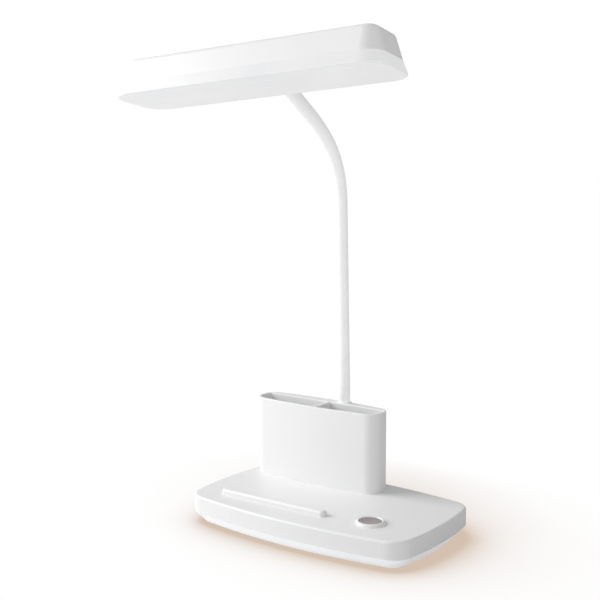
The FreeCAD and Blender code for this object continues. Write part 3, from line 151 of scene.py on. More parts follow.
class NodeSheet:
    """The node tree of one material, filled node by node."""

    def __init__(self, name: str) -> None:
        """Starts a material whose tree holds only a Principled shader and its output."""
        self.material = bpy.data.materials.new(name)
        self.material.use_nodes = True
        self.tree = self.material.node_tree
        self.tree.nodes.clear()
        self.output = self.add("ShaderNodeOutputMaterial", {}, {})
        self.shader = self.add("ShaderNodeBsdfPrincipled", {}, {})
        self.tree.links.new(self.shader.outputs[0], self.output.inputs["Surface"])
        self._place: Optional[Signal] = None

    def add(self, kind: str, settings: dict[str, Any], inputs: Inputs) -> bpy.types.Node:
        """Adds a node, sets its settings, then its sockets.

        Args:
            kind: the node's type.
            settings: its properties.
            inputs: values or links by socket name or number.

        Returns:
            The node.
        """
        node = self.tree.nodes.new(kind)
        for name, value in settings.items():
            setattr(node, name, value)
        for name, value in inputs.items():
            self.feed(node, name, value)
        return node

    def feed(self, node: bpy.types.Node, name: Union[str, int], value: Input) -> None:
        """Sets or links one socket of a node."""
        socket = node.inputs[name]
        if isinstance(value, Signal):
            value = value.socket
        if isinstance(value, bpy.types.NodeSocket):
            self.tree.links.new(value, socket)
        elif socket.type == "RGBA" and len(value) == 3:
            socket.default_value = (*value, 1.0)
        else:
            socket.default_value = value

    def finish(self, **inputs: Input) -> bpy.types.Material:
        """Feeds the shader's sockets by name, with _ for a space, and returns the material."""
        for name, value in inputs.items():
            self.feed(self.shader, name.replace("_", " "), value)
        return self.material

    @property
    def place(self) -> Signal:
        """Object coordinates, which are metres in the lamp's own frame."""
        if self._place is None:
            node = self.add("ShaderNodeTexCoord", {}, {})
            self._place = Signal(self, node.outputs["Object"])
        return self._place

    def moved(
        self, centre: Triple = ORIGIN, turn: Triple = ORIGIN, scale: Triple = (1.0, 1.0, 1.0)
    ) -> Signal:
        """The place seen from a frame of its own.

        Args:
            centre: the frame's origin in metres.
            turn: its turn in radians about X, Y and Z.
            scale: the size of its unit in metres.

        Returns:
            The coordinates in that frame.
        """
        settings = {"vector_type": "TEXTURE"}
        inputs = {"Vector": self.place, "Location": centre, "Rotation": turn, "Scale": scale}
        return Signal(self, self.add("ShaderNodeMapping", settings, inputs).outputs[0])

    def axes(self, vector: Signal) -> tuple[Signal, Signal, Signal]:
        """The three parts of a vector."""
        node = self.add("ShaderNodeSeparateXYZ", {}, {0: vector})
        return tuple(Signal(self, out) for out in node.outputs)

    def noise(
        self, scale: float, detail: float = 2.0, rough: float = 0.5, vector: Optional[Signal] = None
    ) -> Signal:
        """Cloudy noise from 0 to 1.

        Args:
            scale: features to the metre.
            detail: octaves.
            rough: how strongly the fine octaves show.
            vector: where it is read; the place if none is given.

        Returns:
            The noise's value.
        """
        inputs = {"Vector": vector or self.place, "Scale": scale, "Detail": detail, "Roughness": rough}
        return Signal(self, self.add("ShaderNodeTexNoise", {}, inputs).outputs[0])

    def cells(self, scale: float) -> Signal:
        """Distance to the nearest point of a Voronoi pattern with so many cells to the metre."""
        node = self.add("ShaderNodeTexVoronoi", {}, {"Vector": self.place, "Scale": scale})
        return Signal(self, node.outputs["Distance"])

    def blend(self, share: Input, first: Input, second: Input) -> Signal:
        """Mixes two colours, first at 0 and second at 1."""
        node = self.add("ShaderNodeMix", {"data_type": "RGBA"}, {0: share, 6: first, 7: second})
        return Signal(self, node.outputs[2])

    def bump(self, height: Signal, depth: float, under: Optional[Signal] = None) -> Signal:
        """A normal bent by a height.

        Args:
            height: the relief, from 0 to 1.
            depth: what 1 stands for, in metres.
            under: a coarser bump's normal to lie on.

        Returns:
            The bent normal.
        """
        inputs: Inputs = {"Height": height, "Distance": depth, "Strength": 1.0}
        if under is not None:
            inputs["Normal"] = under
        return Signal(self, self.add("ShaderNodeBump", {}, inputs).outputs[0])


# -------------------------------------------------------------------- finishes


@dataclass(frozen=True)
class Finish(ABC):
    """A finish that one or several pieces share."""

    name: str

    @abstractmethod
    def build(self) -> bpy.types.Material:
        """Makes the material."""


@dataclass(frozen=True)
class MouldedPlastic(Finish):
    """Injection-moulded plastic with a fine spark-eroded grain and faint flow patches."""

    tint: Colour
    deep: Colour
    roughness: float = 0.42
    grain: float = 2600.0
    depth: float = 12 * MICRON
    patch: float = 18.0
    gloss: float = 0.0

    def build(self) -> bpy.types.Material:
        """Makes the material."""
        sheet = NodeSheet(self.name)
        patches = sheet.noise(self.patch, 3.0)
        grain = sheet.noise(self.grain, 3.0, 0.6)
        specks = sheet.cells(self.grain * 0.6)
        scuff = sheet.noise(self.patch * 9.0, 6.0, 0.7).eased(0.6, 0.78)
        colour = sheet.blend(patches.eased(0.3, 0.8) * 0.7 + scuff * 0.2, self.tint, self.deep)
        relief = sheet.bump(grain * 0.7 + specks * 0.3, self.depth)
        wave = sheet.bump(sheet.noise(self.patch * 2.2, 1.0), self.depth * 3.0, relief)
        return sheet.finish(
            Base_Color=colour,
            Roughness=self.roughness + (grain - 0.5) * 0.12 + scuff * 0.08,
            Coat_Weight=self.gloss,
            Coat_Roughness=0.12,
            IOR=1.49,
            Normal=wave,
        )


@dataclass(frozen=True)
class MilkyPlastic(Finish):
    """Opal acrylic: smooth, faintly cloudy, with painted emission that stands in for the light that wanders
    inside it.
    """

    tint: Colour
    deep: Colour
    # painted light: emission strength, standing in for light scattered inside the plastic
    painted_glow: float
    roughness: float = 0.32
    # hue of the painted emission in its cloudy patches
    cool: Colour = (0.97, 0.98, 1.0)
    cloud_scale: float = 30.0
    haze_scale: float = 900.0
    relief: float = 8 * MICRON

    def build(self) -> bpy.types.Material:
        """Makes the material."""
        sheet = NodeSheet(self.name)
        cloud = sheet.noise(self.cloud_scale, 4.0, 0.55)
        haze = sheet.noise(self.haze_scale, 2.0)
        colour = sheet.blend(cloud.eased(0.35, 0.75) * 0.8, self.tint, self.deep)
        return sheet.finish(
            Base_Color=colour,
            Roughness=self.roughness + (haze - 0.5) * 0.08,
            Subsurface_Weight=0.35,
            Subsurface_Scale=0.004,
            Subsurface_Radius=(1.0, 1.0, 1.0),
            # painted light: the plastic emits, as if lit from within by light that wandered in
            Emission_Color=sheet.blend(cloud.eased(0.3, 0.8), PURE_WHITE, self.cool),
            Emission_Strength=self.painted_glow,
            Coat_Weight=0.15,
            Coat_Roughness=0.2,
            Normal=sheet.bump(haze, self.relief),
        )


@dataclass(frozen=True)
class SoftSleeve(Finish):
    """Silicone rubber skin: matt, dusty, fine as orange peel, with painted emission that stands in for the
    light that soaks in.
    """

    tint: Colour
    deep: Colour
    painted_glow: float
    dust_scale: float = 60.0
    peel_scale: float = 1500.0
    fine_scale: float = 5200.0
    relief: float = 12 * MICRON

    def build(self) -> bpy.types.Material:
        """Makes the material."""
        sheet = NodeSheet(self.name)
        dust = sheet.noise(self.dust_scale, 5.0, 0.65)
        peel = sheet.noise(self.peel_scale, 2.0)
        fine = sheet.noise(self.fine_scale, 1.0)
        colour = sheet.blend(dust.eased(0.4, 0.75) * 0.8, self.tint, self.deep)
        return sheet.finish(
            Base_Color=colour,
            Roughness=0.52 + (peel - 0.5) * 0.15,
            Sheen_Weight=0.15,
            Sheen_Roughness=0.5,
            # painted light: the skin emits its own colour, standing in for light that soaks into the rubber
            Emission_Color=colour,
            Emission_Strength=self.painted_glow,
            Normal=sheet.bump(peel * 0.6 + fine * 0.4, self.relief),
        )


class Lay(Enum):
    """The way in which a metal's fine scratches run, as their stretch along X, Y and Z."""

    TURNED = (25.0, 25.0, 1.0)
    DRAWN = (1.0, 1.0, 25.0)
    TUMBLED = (1.0, 1.0, 1.0)


@dataclass(frozen=True)
class Steel(Finish):
    """Plated or bare steel with fine scratches and a little tarnish."""

    tint: Colour
    tarnish: Colour
    lay: Lay = Lay.TUMBLED
    roughness: float = 0.28
    scratch_scale: float = 2400.0
    bloom_scale: float = 220.0
    relief: float = 6 * MICRON

    def build(self) -> bpy.types.Material:
        """Makes the material."""
        sheet = NodeSheet(self.name)
        scratches = sheet.noise(self.scratch_scale, 4.0, 0.7, sheet.moved(scale=self.lay.value))
        bloom = sheet.noise(self.bloom_scale, 5.0, 0.6)
        colour = sheet.blend(bloom.eased(0.45, 0.75) * 0.7, self.tint, self.tarnish)
        return sheet.finish(
            Base_Color=colour,
            Metallic=1.0,
            Roughness=self.roughness + (scratches - 0.5) * 0.2 + bloom.eased(0.5, 0.8) * 0.15,
            Normal=sheet.bump(scratches, self.relief),
        )


@dataclass(frozen=True)
class GripRubber(Finish):
    """Foam rubber with a fine cross-hatched tread."""

    tint: Colour
    deep: Colour
    pitch: float = 1.6 * MM
    slant: float = math.radians(45)
    pore_scale: float = 2600.0
    dust_scale: float = 70.0
    tread_depth: float = 0.2 * MM
    pore_depth: float = 40 * MICRON

    def build(self) -> bpy.types.Material:
        """Makes the material."""
        sheet = NodeSheet(self.name)
        along, across, _ = sheet.axes(sheet.moved(turn=(0.0, 0.0, self.slant)))
        turn = FULL_TURN / self.pitch
        tread = ((along * turn).sine() * (across * turn).sine()).eased(-0.4, 0.6)
        pores = sheet.cells(self.pore_scale).eased(0.0, 0.35)
        dust = sheet.noise(self.dust_scale, 5.0, 0.7).eased(0.5, 0.75)
        colour = sheet.blend(tread * 0.5 + dust * 0.4, self.deep, self.tint)
        normal = sheet.bump(tread, self.tread_depth, sheet.bump(pores, self.pore_depth))
        return sheet.finish(Base_Color=colour, Roughness=0.85 - tread * 0.12, Normal=normal)


@dataclass(frozen=True)
class SolderMask(Finish):
    """Lacquered circuit board with copper traces under the mask and tinned pads on top."""

    mask: Colour
    trace: Colour
    pad: Colour
    pitch: float
    centre: Triple
    turn: Triple = ORIGIN
    lanes: float = 4.0
    wander_scale: float = 140.0
    wander_reach: float = 5.0
    pad_scale: float = 90.0
    glass_scale: float = 1800.0
    relief: float = 40 * MICRON
    glass_depth: float = 8 * MICRON

    def build(self) -> bpy.types.Material:
        """Makes the material."""
        sheet = NodeSheet(self.name)
        spot = sheet.moved(self.centre, self.turn)
        along, across, _ = sheet.axes(spot)
        column = (along * (1.0 / self.pitch)).fraction() - 0.5
        row = (across * (1.0 / self.pitch)).fraction() - 0.5
        wander = sheet.noise(self.wander_scale, 0.0, 0.5, spot)
        lanes = (across * (self.lanes / self.pitch) + wander * self.wander_reach).fraction() - 0.5
        traces = lanes.size().eased(0.2, 0.14) * wander.eased(0.42, 0.46)
        discs = (column * column + row * row).eased(0.02, 0.015)
        pads = discs * sheet.noise(self.pad_scale, 0.0, 0.5, spot).eased(0.5, 0.52)
        glass = sheet.noise(self.glass_scale, 2.0)
        colour = sheet.blend(pads, sheet.blend(traces * 0.8, self.mask, self.trace), self.pad)
        fibres = sheet.bump(glass, self.glass_depth)
        return sheet.finish(
            Base_Color=colour,
            Metallic=pads * 0.9,
            Roughness=0.34 + (glass - 0.5) * 0.1,
            Coat_Weight=0.3,
            Coat_Roughness=0.1,
            Normal=sheet.bump(traces * 0.4 + pads * 0.6, self.relief, fibres),
        )


@dataclass(frozen=True)
class ShrinkFilm(Finish):
    """Heat-shrunk film over a cell: glossy, with soft creases."""

    tint: Colour
    deep: Colour
    crease_scale: float = 90.0
    crease_stretch: Triple = (1.0, 3.0, 1.0)
    relief: float = 0.3 * MM

    def build(self) -> bpy.types.Material:
        """Makes the material."""
        sheet = NodeSheet(self.name)
        creases = sheet.noise(self.crease_scale, 6.0, 0.55, sheet.moved(scale=self.crease_stretch))
        ridge = (creases - 0.5).size().eased(0.06, 0.0)
        colour = sheet.blend(creases.eased(0.3, 0.7) * 0.6 + ridge * 0.3, self.tint, self.deep)
        return sheet.finish(
            Base_Color=colour,
            Roughness=0.2 + ridge * 0.2,
            Coat_Weight=0.5,
            Coat_Roughness=0.08,
            Normal=sheet.bump(creases + ridge * 0.4, self.relief),
        )


@dataclass(frozen=True)
class CastWeight(Finish):
    """Sand-cast ballast with a dull zinc wash."""

    tint: Colour
    rust: Colour
    sand_scale: float = 900.0
    pit_scale: float = 400.0
    stain_scale: float = 50.0
    relief: float = 120 * MICRON

    def build(self) -> bpy.types.Material:
        """Makes the material."""
        sheet = NodeSheet(self.name)
        sand = sheet.noise(self.sand_scale, 6.0, 0.7)
        pits = sheet.cells(self.pit_scale).eased(0.0, 0.25)
        stain = sheet.noise(self.stain_scale, 6.0, 0.65).eased(0.55, 0.75)
        return sheet.finish(
            Base_Color=sheet.blend(stain * 0.6, self.tint, self.rust),
            Metallic=0.9 - stain * 0.5,
            Roughness=0.55 + (sand - 0.5) * 0.3 + stain * 0.15,
            Normal=sheet.bump(sand * 0.6 + pits * 0.4, self.relief),
        )


@dataclass(frozen=True)
class PhosphorChip(Finish):
    """Light-emitting chip: white ceramic frame round a yellow window of phosphor.

    The pattern is moved by so many cells away from the centre, so that no coordinate is negative.
    """

    frame_tint: Colour
    window: Colour
    centre: Triple
    turn: Triple
    pitch: tuple[float, float]
    half: tuple[float, float]
    cells_away: float = 20.0
    grain_scale: float = 4000.0
    relief: float = 30 * MICRON

    def build(self) -> bpy.types.Material:
        """Makes the material."""
        sheet = NodeSheet(self.name)
        along, across, _ = sheet.axes(sheet.moved(self.centre, self.turn))
        cell_x = ((along + self.pitch[0] * self.cells_away) / self.pitch[0]).fraction() - 0.5
        cell_y = ((across + self.pitch[1] * self.cells_away) / self.pitch[1]).fraction() - 0.5
        reach_x = cell_x.size() * (self.pitch[0] / self.half[0])
        reach_y = cell_y.size() * (self.pitch[1] / self.half[1])
        window = reach_x.most(reach_y).eased(1.05, 0.95)
        grain = sheet.noise(self.grain_scale, 2.0)
        colour = sheet.blend(window, self.frame_tint, sheet.blend(grain, self.window, self.frame_tint))
        return sheet.finish(
            Base_Color=colour,
            Roughness=0.3 + window * 0.25 + (grain - 0.5) * 0.1,
            Normal=sheet.bump(grain - window * 2.0, self.relief),
        )


@dataclass(frozen=True)
class StudioPaper(Finish):
    """Matt white paper: it bounces neutral light; to the camera it shows white, with a warm shadow painted in
    where something stands close over it.
    """

    bounce: Colour
    # colour of the painted shadow
    shade: Colour
    lean: Triple
    reach: float
    falloff: float = 0.92
    samples: int = 32

    def build(self) -> bpy.types.Material:
        """Makes the material."""
        sheet = NodeSheet(self.name)
        sheet.finish(Base_Color=self.bounce, Roughness=0.95, Specular_IOR_Level=0.1)
        # painted shadow: ambient occlusion picks where the warm shade is painted into the camera's view
        lean = sheet.add("ShaderNodeCombineXYZ", {}, dict(enumerate(self.lean)))
        inputs = {"Distance": self.reach, "Normal": lean.outputs[0]}
        cover = sheet.add("ShaderNodeAmbientOcclusion", {"samples": self.samples}, inputs)
        nearness = 2.0 - 2.0 * Signal(sheet, cover.outputs["AO"])
        painted_shade_tone = sheet.blend(nearness ** self.falloff, PURE_WHITE, self.shade)
        painted_glow = sheet.add("ShaderNodeEmission", {}, {"Color": painted_shade_tone, "Strength": 1.0})
        ray = sheet.add("ShaderNodeLightPath", {}, {})
        pair = {0: ray.outputs["Is Camera Ray"], 1: sheet.shader.outputs[0], 2: painted_glow.outputs[0]}
        mixed = sheet.add("ShaderNodeMixShader", {}, pair)
        sheet.feed(sheet.output, "Surface", mixed.outputs[0])
        return sheet.material


@dataclass(frozen=True)
class SatinCap(Finish):
    """Satin key cap with fine concentric turning marks and a thumb-polished middle."""

    tint: Colour
    deep: Colour
    centre: Triple
    radius: float
    ring_pitch: float = 0.35 * MM
    grain_scale: float = 3200.0
    relief: float = 8 * MICRON

    def build(self) -> bpy.types.Material:
        """Makes the material."""
        sheet = NodeSheet(self.name)
        along, across, _ = sheet.axes(sheet.moved(self.centre))
        reach = (along * along + across * across) ** 0.5
        rings = (reach * (FULL_TURN / self.ring_pitch)).sine()
        polish = (reach / self.radius).eased(0.9, 0.1)
        grain = sheet.noise(self.grain_scale, 3.0, 0.6)
        colour = sheet.blend(polish * 0.55 + (grain - 0.5) * 0.5, self.tint, self.deep)
        return sheet.finish(
            Base_Color=colour,
            Roughness=0.34 - polish * 0.08 + (grain - 0.5) * 0.12,
            Coat_Weight=0.25,
            Coat_Roughness=0.15,
            Normal=sheet.bump(rings * 0.5 + grain, self.relief),
        )


# --------------------------------------------------------- dressing and meshes


def dress(nodes: Iterable[str], finish: Finish) -> None:
    """Gives CAD nodes a finish.

    Args:
        nodes: the nodes' names.
        finish: what they are made of.
    """
    material = finish.build()
    for name in nodes:
        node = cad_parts[name]
        if not node.material_slots:
            node.data.materials.append(material)
        for slot in node.material_slots:
            slot.material = material
        LOG.info("node %s: %s", name, finish.name)


def settle(name: str, mesh: bmesh.types.BMesh, material: bpy.types.Material) -> bpy.types.Object:
    """Turns a bmesh into a smooth-shaded object at the origin.

    Args:
        name: the piece's name.
        mesh: its shape in metres; it is freed.
        material: its finish.

    Returns:
        The new object.
    """
    bmesh.ops.remove_doubles(mesh, verts=mesh.verts, dist=WELD_DISTANCE)
    bmesh.ops.recalc_face_normals(mesh, faces=mesh.faces)
    for face in mesh.faces:
        face.smooth = True
    for edge in mesh.edges:
        edge.smooth = len(edge.link_faces) == 2 and edge.calc_face_angle() < SHARP_ANGLE
    data = bpy.data.meshes.new(name)
    mesh.to_mesh(data)
    mesh.free()
    data.materials.append(material)
    piece = bpy.data.objects.new(name, data)
    bpy.context.scene.collection.objects.link(piece)
    LOG.info("piece %s: %d faces", name, len(data.polygons))
    return piece


# ------------------------------------------------------------------------ base


@dataclass
class Base:
    """The low base: shell with its phone lip, tray, pad and what is inside."""

    white: Finish = MouldedPlastic("shell_white", *WHITE_PLASTIC)
    # painted light: the tray's emission brightens its strip in place of bounce light from the floor
    tray: Finish = MilkyPlastic(
        "tray_white", (0.79, 0.795, 0.81), (0.75, 0.755, 0.77), painted_glow=0.24, roughness=0.5
    )
    rubber: Finish = GripRubber("pad_rubber", (0.66, 0.66, 0.65), (0.52, 0.52, 0.51))
    screws: Finish = Steel("screw_steel", (0.62, 0.62, 0.63), (0.42, 0.41, 0.4), Lay.TURNED)
    film: Finish = ShrinkFilm("battery_wrap", (0.10, 0.23, 0.55), (0.05, 0.12, 0.36))
    ballast: Finish = CastWeight("weight_steel", (0.36, 0.37, 0.38), (0.28, 0.19, 0.13))
    inlet: Finish = Steel("inlet_steel", (0.72, 0.72, 0.73), (0.5, 0.5, 0.5), Lay.DRAWN, 0.22)
    board: Finish = SolderMask(
        "board_green",
        mask=(0.02, 0.16, 0.06),
        trace=(0.04, 0.27, 0.09),
        pad=(0.78, 0.77, 0.72),
        pitch=2.5 * MM,
        centre=(49.0 * MM, 0.0, 0.0),
    )

    def build(self) -> None:
        """Dresses the base's nodes."""
        dress(["base_shell"], self.white)
        dress(["base_tray"], self.tray)
        dress(["base_pad"], self.rubber)
        dress(["base_screws", "board_screws", "cup_screws"], self.screws)
        dress(["battery_pack"], self.film)
        dress(["counterweight"], self.ballast)
        dress(["usb_inlet"], self.inlet)
        dress(["control_board", "charge_board"], self.board)


@dataclass
class PowerButton:
    """The round key, its ring, and the switch under it."""

    centre: Triple = (53.5 * MM, -26.0 * MM, 0.0)
    radius: float = 7.6 * MM
    ring: Finish = MouldedPlastic(
        "bezel_white", (0.88, 0.88, 0.885), (0.85, 0.85, 0.855), roughness=0.22, depth=4 * MICRON, gloss=0.6
    )
    black: Finish = MouldedPlastic("plunger_black", (0.02, 0.02, 0.022), (0.03, 0.03, 0.03), roughness=0.5)
    can: Finish = Steel("switch_steel", (0.7, 0.7, 0.7), (0.5, 0.49, 0.46), Lay.DRAWN)

    @property
    def cap(self) -> Finish:
        """The key cap's finish, centred on the key."""
        return SatinCap("button_grey", (0.29, 0.243, 0.243), (0.36, 0.31, 0.31), self.centre, self.radius)

    def build(self) -> None:
        """Dresses the key and the switch."""
        dress(["power_button"], self.cap)
        dress(["button_bezel"], self.ring)
        dress(["switch_plunger"], self.black)
        dress(["tact_switch"], self.can)


@dataclass
class PenCup:
    """The two-compartment pen cup. Its screws are dressed with the base's."""

    white: Finish = MouldedPlastic("cup_white", *WHITE_PLASTIC, roughness=0.4)

    def build(self) -> None:
        """Dresses the cup."""
        dress(["pen_cup"], self.white)


# ------------------------------------------------------------------------ neck


@dataclass(frozen=True)
class Course:
    """The neck's centreline: straights and arcs in one upright plane, met tangentially.

    Each of the turns is a straight, as None and its length in mm, or an arc, as its radius in mm and the
    angle above the level at its end, in degrees.
    """

    root: Triple = (-18.5 * MM, 49.0 * MM, 59.5 * MM)
    heading: float = math.radians(6.0)
    turns: tuple[tuple[Optional[float], float], ...] = (
        (None, 22.0),
        (150.0, 88.0),
        (None, 147.8),
        (63.0, 41.5),
        (146.0, 30.0),
        (None, 41.5),
        (85.0, 24.0),
        (None, 7.0),
    )

    def stretches(self) -> list[tuple[float, float, float]]:
        """Each stretch as its length, first angle and last angle, in mm and degrees above the level."""
        found, angle = [], 90.0
        for radius, value in self.turns:
            last = angle if radius is None else value
            length = value if radius is None else radius * math.radians(angle - value)
            found.append((length, angle, last))
            angle = last
        return found

    def frame_at(self, station: float) -> Matrix:
        """Place and direction of the centreline.

        Args:
            station: millimetres along it from the neck's foot.

        Returns:
            A matrix with its origin on the line, Z along it and X sideways.
        """
        reach, height, along = 0.0, 0.0, 0.0
        stretches = self.stretches()
        slope = 0.0
        for number, (length, first, last) in enumerate(stretches):
            run = station - along
            if number < len(stretches) - 1:
                run = min(run, length)
            a, b = math.radians(first), math.radians(first + (last - first) * min(run / length, 1.0))
            if first == last:
                reach += run * math.cos(a)
                height += run * math.sin(a)
            else:
                radius = length / math.radians(first - last)
                reach += radius * (math.sin(a) - math.sin(b))
                height += radius * (math.cos(b) - math.cos(a))
            along += length
            slope = b
            if station <= along:
                break
        forward = Vector((math.sin(self.heading), -math.cos(self.heading), 0.0))
        side = Vector((math.cos(self.heading), math.sin(self.heading), 0.0))
        up = Vector((0.0, 0.0, 1.0))
        tangent = forward * math.cos(slope) + up * math.sin(slope)
        normal = tangent.cross(side)
        place = Vector(self.root) + forward * reach * MM + up * height * MM
        turn = Matrix((side, normal, tangent)).transposed().to_4x4()
        return Matrix.Translation(place) @ turn


@dataclass
class GooseNeck:
    """The bendable neck: a wound steel hose in a soft white sleeve, from the cup to the head. Sizes in mm."""

    course: Course = field(default_factory=Course)
    joints: tuple[float, ...] = (34.0, 75.0, 116.0, 157.0, 198.0, 239.0, 280.0)
    half_bend: float = 19.0  # how far a skin bends on either side of its hinge
    foot_bend: float = 10.5  # the same at the first hinge, which is close over the cup
    sleeve_radius: float = 4.4
    sleeve_swell: float = 0.4
    free_start: float = 22.0  # where the sleeve leaves the cup
    drawn_in: float = 8.0  # length over which its full girth is reached
    sleeve_bore: float = 3.05
    sleeve_end: float = 307.37
    sleeve_sides: int = 48
    sleeve_pitch: float = 1.0
    hose_radius: float = 3.0
    hose_bore: float = 1.7
    hose_end: float = 312.87
    hose_sides: int = 24
    winding: float = 2.0
    winding_rings: int = 4
    winding_depth: float = 0.22
    # painted light: the sleeve's emission lightens its shaded side
    sleeve: Finish = SoftSleeve("sleeve_white", (0.85, 0.85, 0.855), (0.81, 0.81, 0.815), painted_glow=0.25)
    hose: Finish = Steel("hose_steel", (0.55, 0.56, 0.57), (0.36, 0.35, 0.34), Lay.TUMBLED, 0.32)
    stud: Finish = Steel("stud_steel", (0.66, 0.66, 0.66), (0.45, 0.44, 0.42), Lay.TURNED)

    def bodies(self) -> list[str]:
        """The bodies in order from the base to the head."""
        return ["base"] + [f"neck_link_{k}" for k in range(1, len(self.joints))] + ["head"]

    def bounds(self, end: float) -> list[float]:
        """Stations at which one skin ends and the next starts."""
        middles = [(a + b) / 2 for a, b in zip(self.joints, self.joints[1:])]
        return [0.0, *middles, end]

    def tube(self, rings: list[tuple[float, float]], bore: float, sides: int) -> bmesh.types.BMesh:
        """Sweeps a wall along the centreline.

        Args:
            rings: station and outer radius of each ring, in mm.
            bore: inner radius in mm.
            sides: faces round the tube.

        Returns:
            The closed wall.
        """
        mesh = bmesh.new()
        frames = [self.course.frame_at(station) for station, _ in rings]
        way = [(place, radius) for place, (_, radius) in zip(frames, rings)]
        way += [(place, bore) for place in reversed(frames)]
        place, radius = way[0]
        bmesh.ops.create_circle(mesh, segments=sides, radius=radius * MM, matrix=place)
        start = list(mesh.edges)
        loop = start
        for after, wide in way[1:]:
            made = bmesh.ops.extrude_edge_only(mesh, edges=loop)["geom"]
            edges = [item for item in made if isinstance(item, bmesh.types.BMEdge)]
            verts = [item for item in made if isinstance(item, bmesh.types.BMVert)]
            fresh = set(verts)
            loop = [edge for edge in edges if fresh.issuperset(edge.verts)]
            grow = Matrix.Diagonal((wide / radius, wide / radius, 1.0, 1.0))
            bmesh.ops.transform(mesh, matrix=after @ grow @ place.inverted(), verts=verts)
            place, radius = after, wide
        bmesh.ops.bridge_loops(mesh, edges=start + loop)
        return mesh

    def girth(self, station: float) -> float:
        """Outer radius of the sleeve, which swells a little between the cup and the head that hold it."""
        inset = min(station - self.free_start, self.sleeve_end - station)
        share = min(max(inset / self.drawn_in, 0.0), 1.0)
        return self.sleeve_radius + self.sleeve_swell * share * share * (3.0 - 2.0 * share)

    def steps(self, start: float, end: float, pitch: float) -> list[float]:
        """Evenly spaced stations from start to end, about a pitch apart."""
        count = max(1, round((end - start) / pitch))
        return [start + (end - start) * k / count for k in range(count + 1)]

    def skin(self, kind: str, number: int, mesh: bmesh.types.BMesh, material: bpy.types.Material) -> None:
        """Makes one skin over a joint and hides the CAD pieces on both sides of that joint.

        Args:
            kind: "sleeve" or "hose".
            number: the joint's number from 1.
            mesh: the skin's shape.
            material: its finish.
        """
        piece = settle(f"neck_{kind}_skin_{number}", mesh, material)
        names = self.bodies()
        half = (self.foot_bend if number == 1 else self.half_bend) * MM
        centre = self.course.frame_at(self.joints[number - 1])
        names[number - 1]
        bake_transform(piece)
        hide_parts(f"neck_{kind}_{number - 1}", f"neck_{kind}_{number}")

    def build(self) -> None:
        """Makes the skins and dresses the stud, washer and nut."""
        soft, steel = self.sleeve.build(), self.hose.build()
        ends = self.bounds(self.sleeve_end)
        for number, (start, end) in enumerate(zip(ends, ends[1:]), 1):
            rings = [(station, self.girth(station)) for station in self.steps(start, end, self.sleeve_pitch)]
            self.skin("sleeve", number, self.tube(rings, self.sleeve_bore, self.sleeve_sides), soft)
        ends = self.bounds(self.hose_end)
        for number, (start, end) in enumerate(zip(ends, ends[1:]), 1):
            rings = []
            for station in self.steps(start, end, self.winding / self.winding_rings):
                dip = 0.5 - 0.5 * math.cos(FULL_TURN * station / self.winding)
                rings.append((station, self.hose_radius - self.winding_depth * dip))
            self.skin("hose", number, self.tube(rings, self.hose_bore, self.hose_sides), steel)
        dress(["neck_stud", "neck_washer", "neck_nut"], self.stud)


# ------------------------------------------------------------------------ head


@dataclass
class LampHead:
    """The light bar: white shade, milky diffuser, light board and the neck's clamp."""

    centre: Triple = (-4.68 * MM, -73.47 * MM, 312.21 * MM)
    chip_pitch: tuple[float, float] = (12.0 * MM, 13.0 * MM)
    chip_window: tuple[float, float] = (1.3 * MM, 1.05 * MM)
    turn: Triple = (math.radians(-9.0), math.radians(-4.5), math.radians(6.0))
    white: Finish = MouldedPlastic("shade_white", (0.87, 0.87, 0.875), (0.84, 0.84, 0.845), roughness=0.36)
    # painted light: the diffuser's light grey is mostly emission over a dark base colour
    milky: Finish = MilkyPlastic("diffuser_milky", (0.36, 0.36, 0.365), (0.33, 0.33, 0.335), painted_glow=0.48)
    steel: Finish = Steel("ferrule_steel", (0.7, 0.7, 0.71), (0.5, 0.5, 0.49), Lay.TURNED, 0.24)
    clamp: Finish = MouldedPlastic("clamp_black", (0.025, 0.025, 0.028), (0.04, 0.04, 0.042), roughness=0.55)

    @property
    def board(self) -> Finish:
        """The light board's white mask, in line with the head."""
        return SolderMask(
            "led_board_white",
            mask=(0.83, 0.83, 0.82),
            trace=(0.76, 0.76, 0.74),
            pad=(0.8, 0.79, 0.75),
            pitch=4.0 * MM,
            centre=self.centre,
            turn=self.turn,
        )

    @property
    def chips(self) -> Finish:
        """The chips' finish, with a window on each."""
        return PhosphorChip(
            "led_yellow",
            frame_tint=(0.86, 0.86, 0.84),
            window=(0.86, 0.66, 0.08),
            centre=self.centre,
            turn=self.turn,
            pitch=self.chip_pitch,
            half=self.chip_window,
        )

    def build(self) -> None:
        """Dresses the head's nodes."""
        dress(["head_shade"], self.white)
        dress(["head_diffuser"], self.milky)
        dress(["neck_ferrule", "clamp_screws", "led_screws"], self.steel)
        dress(["neck_clamp"], self.clamp)
        dress(["led_board"], self.board)
        dress(["led_chips"], self.chips)


# ---------------------------------------------------------------------- studio


@dataclass(frozen=True)
class SoftBox:
    """A square soft light that hangs in the studio."""

    name: str
    place: Triple
    aim: Triple
    power: float
    size: float

    def hang(self) -> None:
        """Makes the light and turns it to where it aims."""
        light = bpy.data.lights.new(self.name, "AREA")
        light.energy = self.power
        light.size = self.size
        item = bpy.data.objects.new(self.name, light)
        item.location = self.place
        item.visible_camera = False
        item.rotation_mode = "QUATERNION"
        item.rotation_quaternion = (Vector(self.aim) - Vector(self.place)).to_track_quat("-Z", "Y")
        bpy.context.scene.collection.objects.link(item)


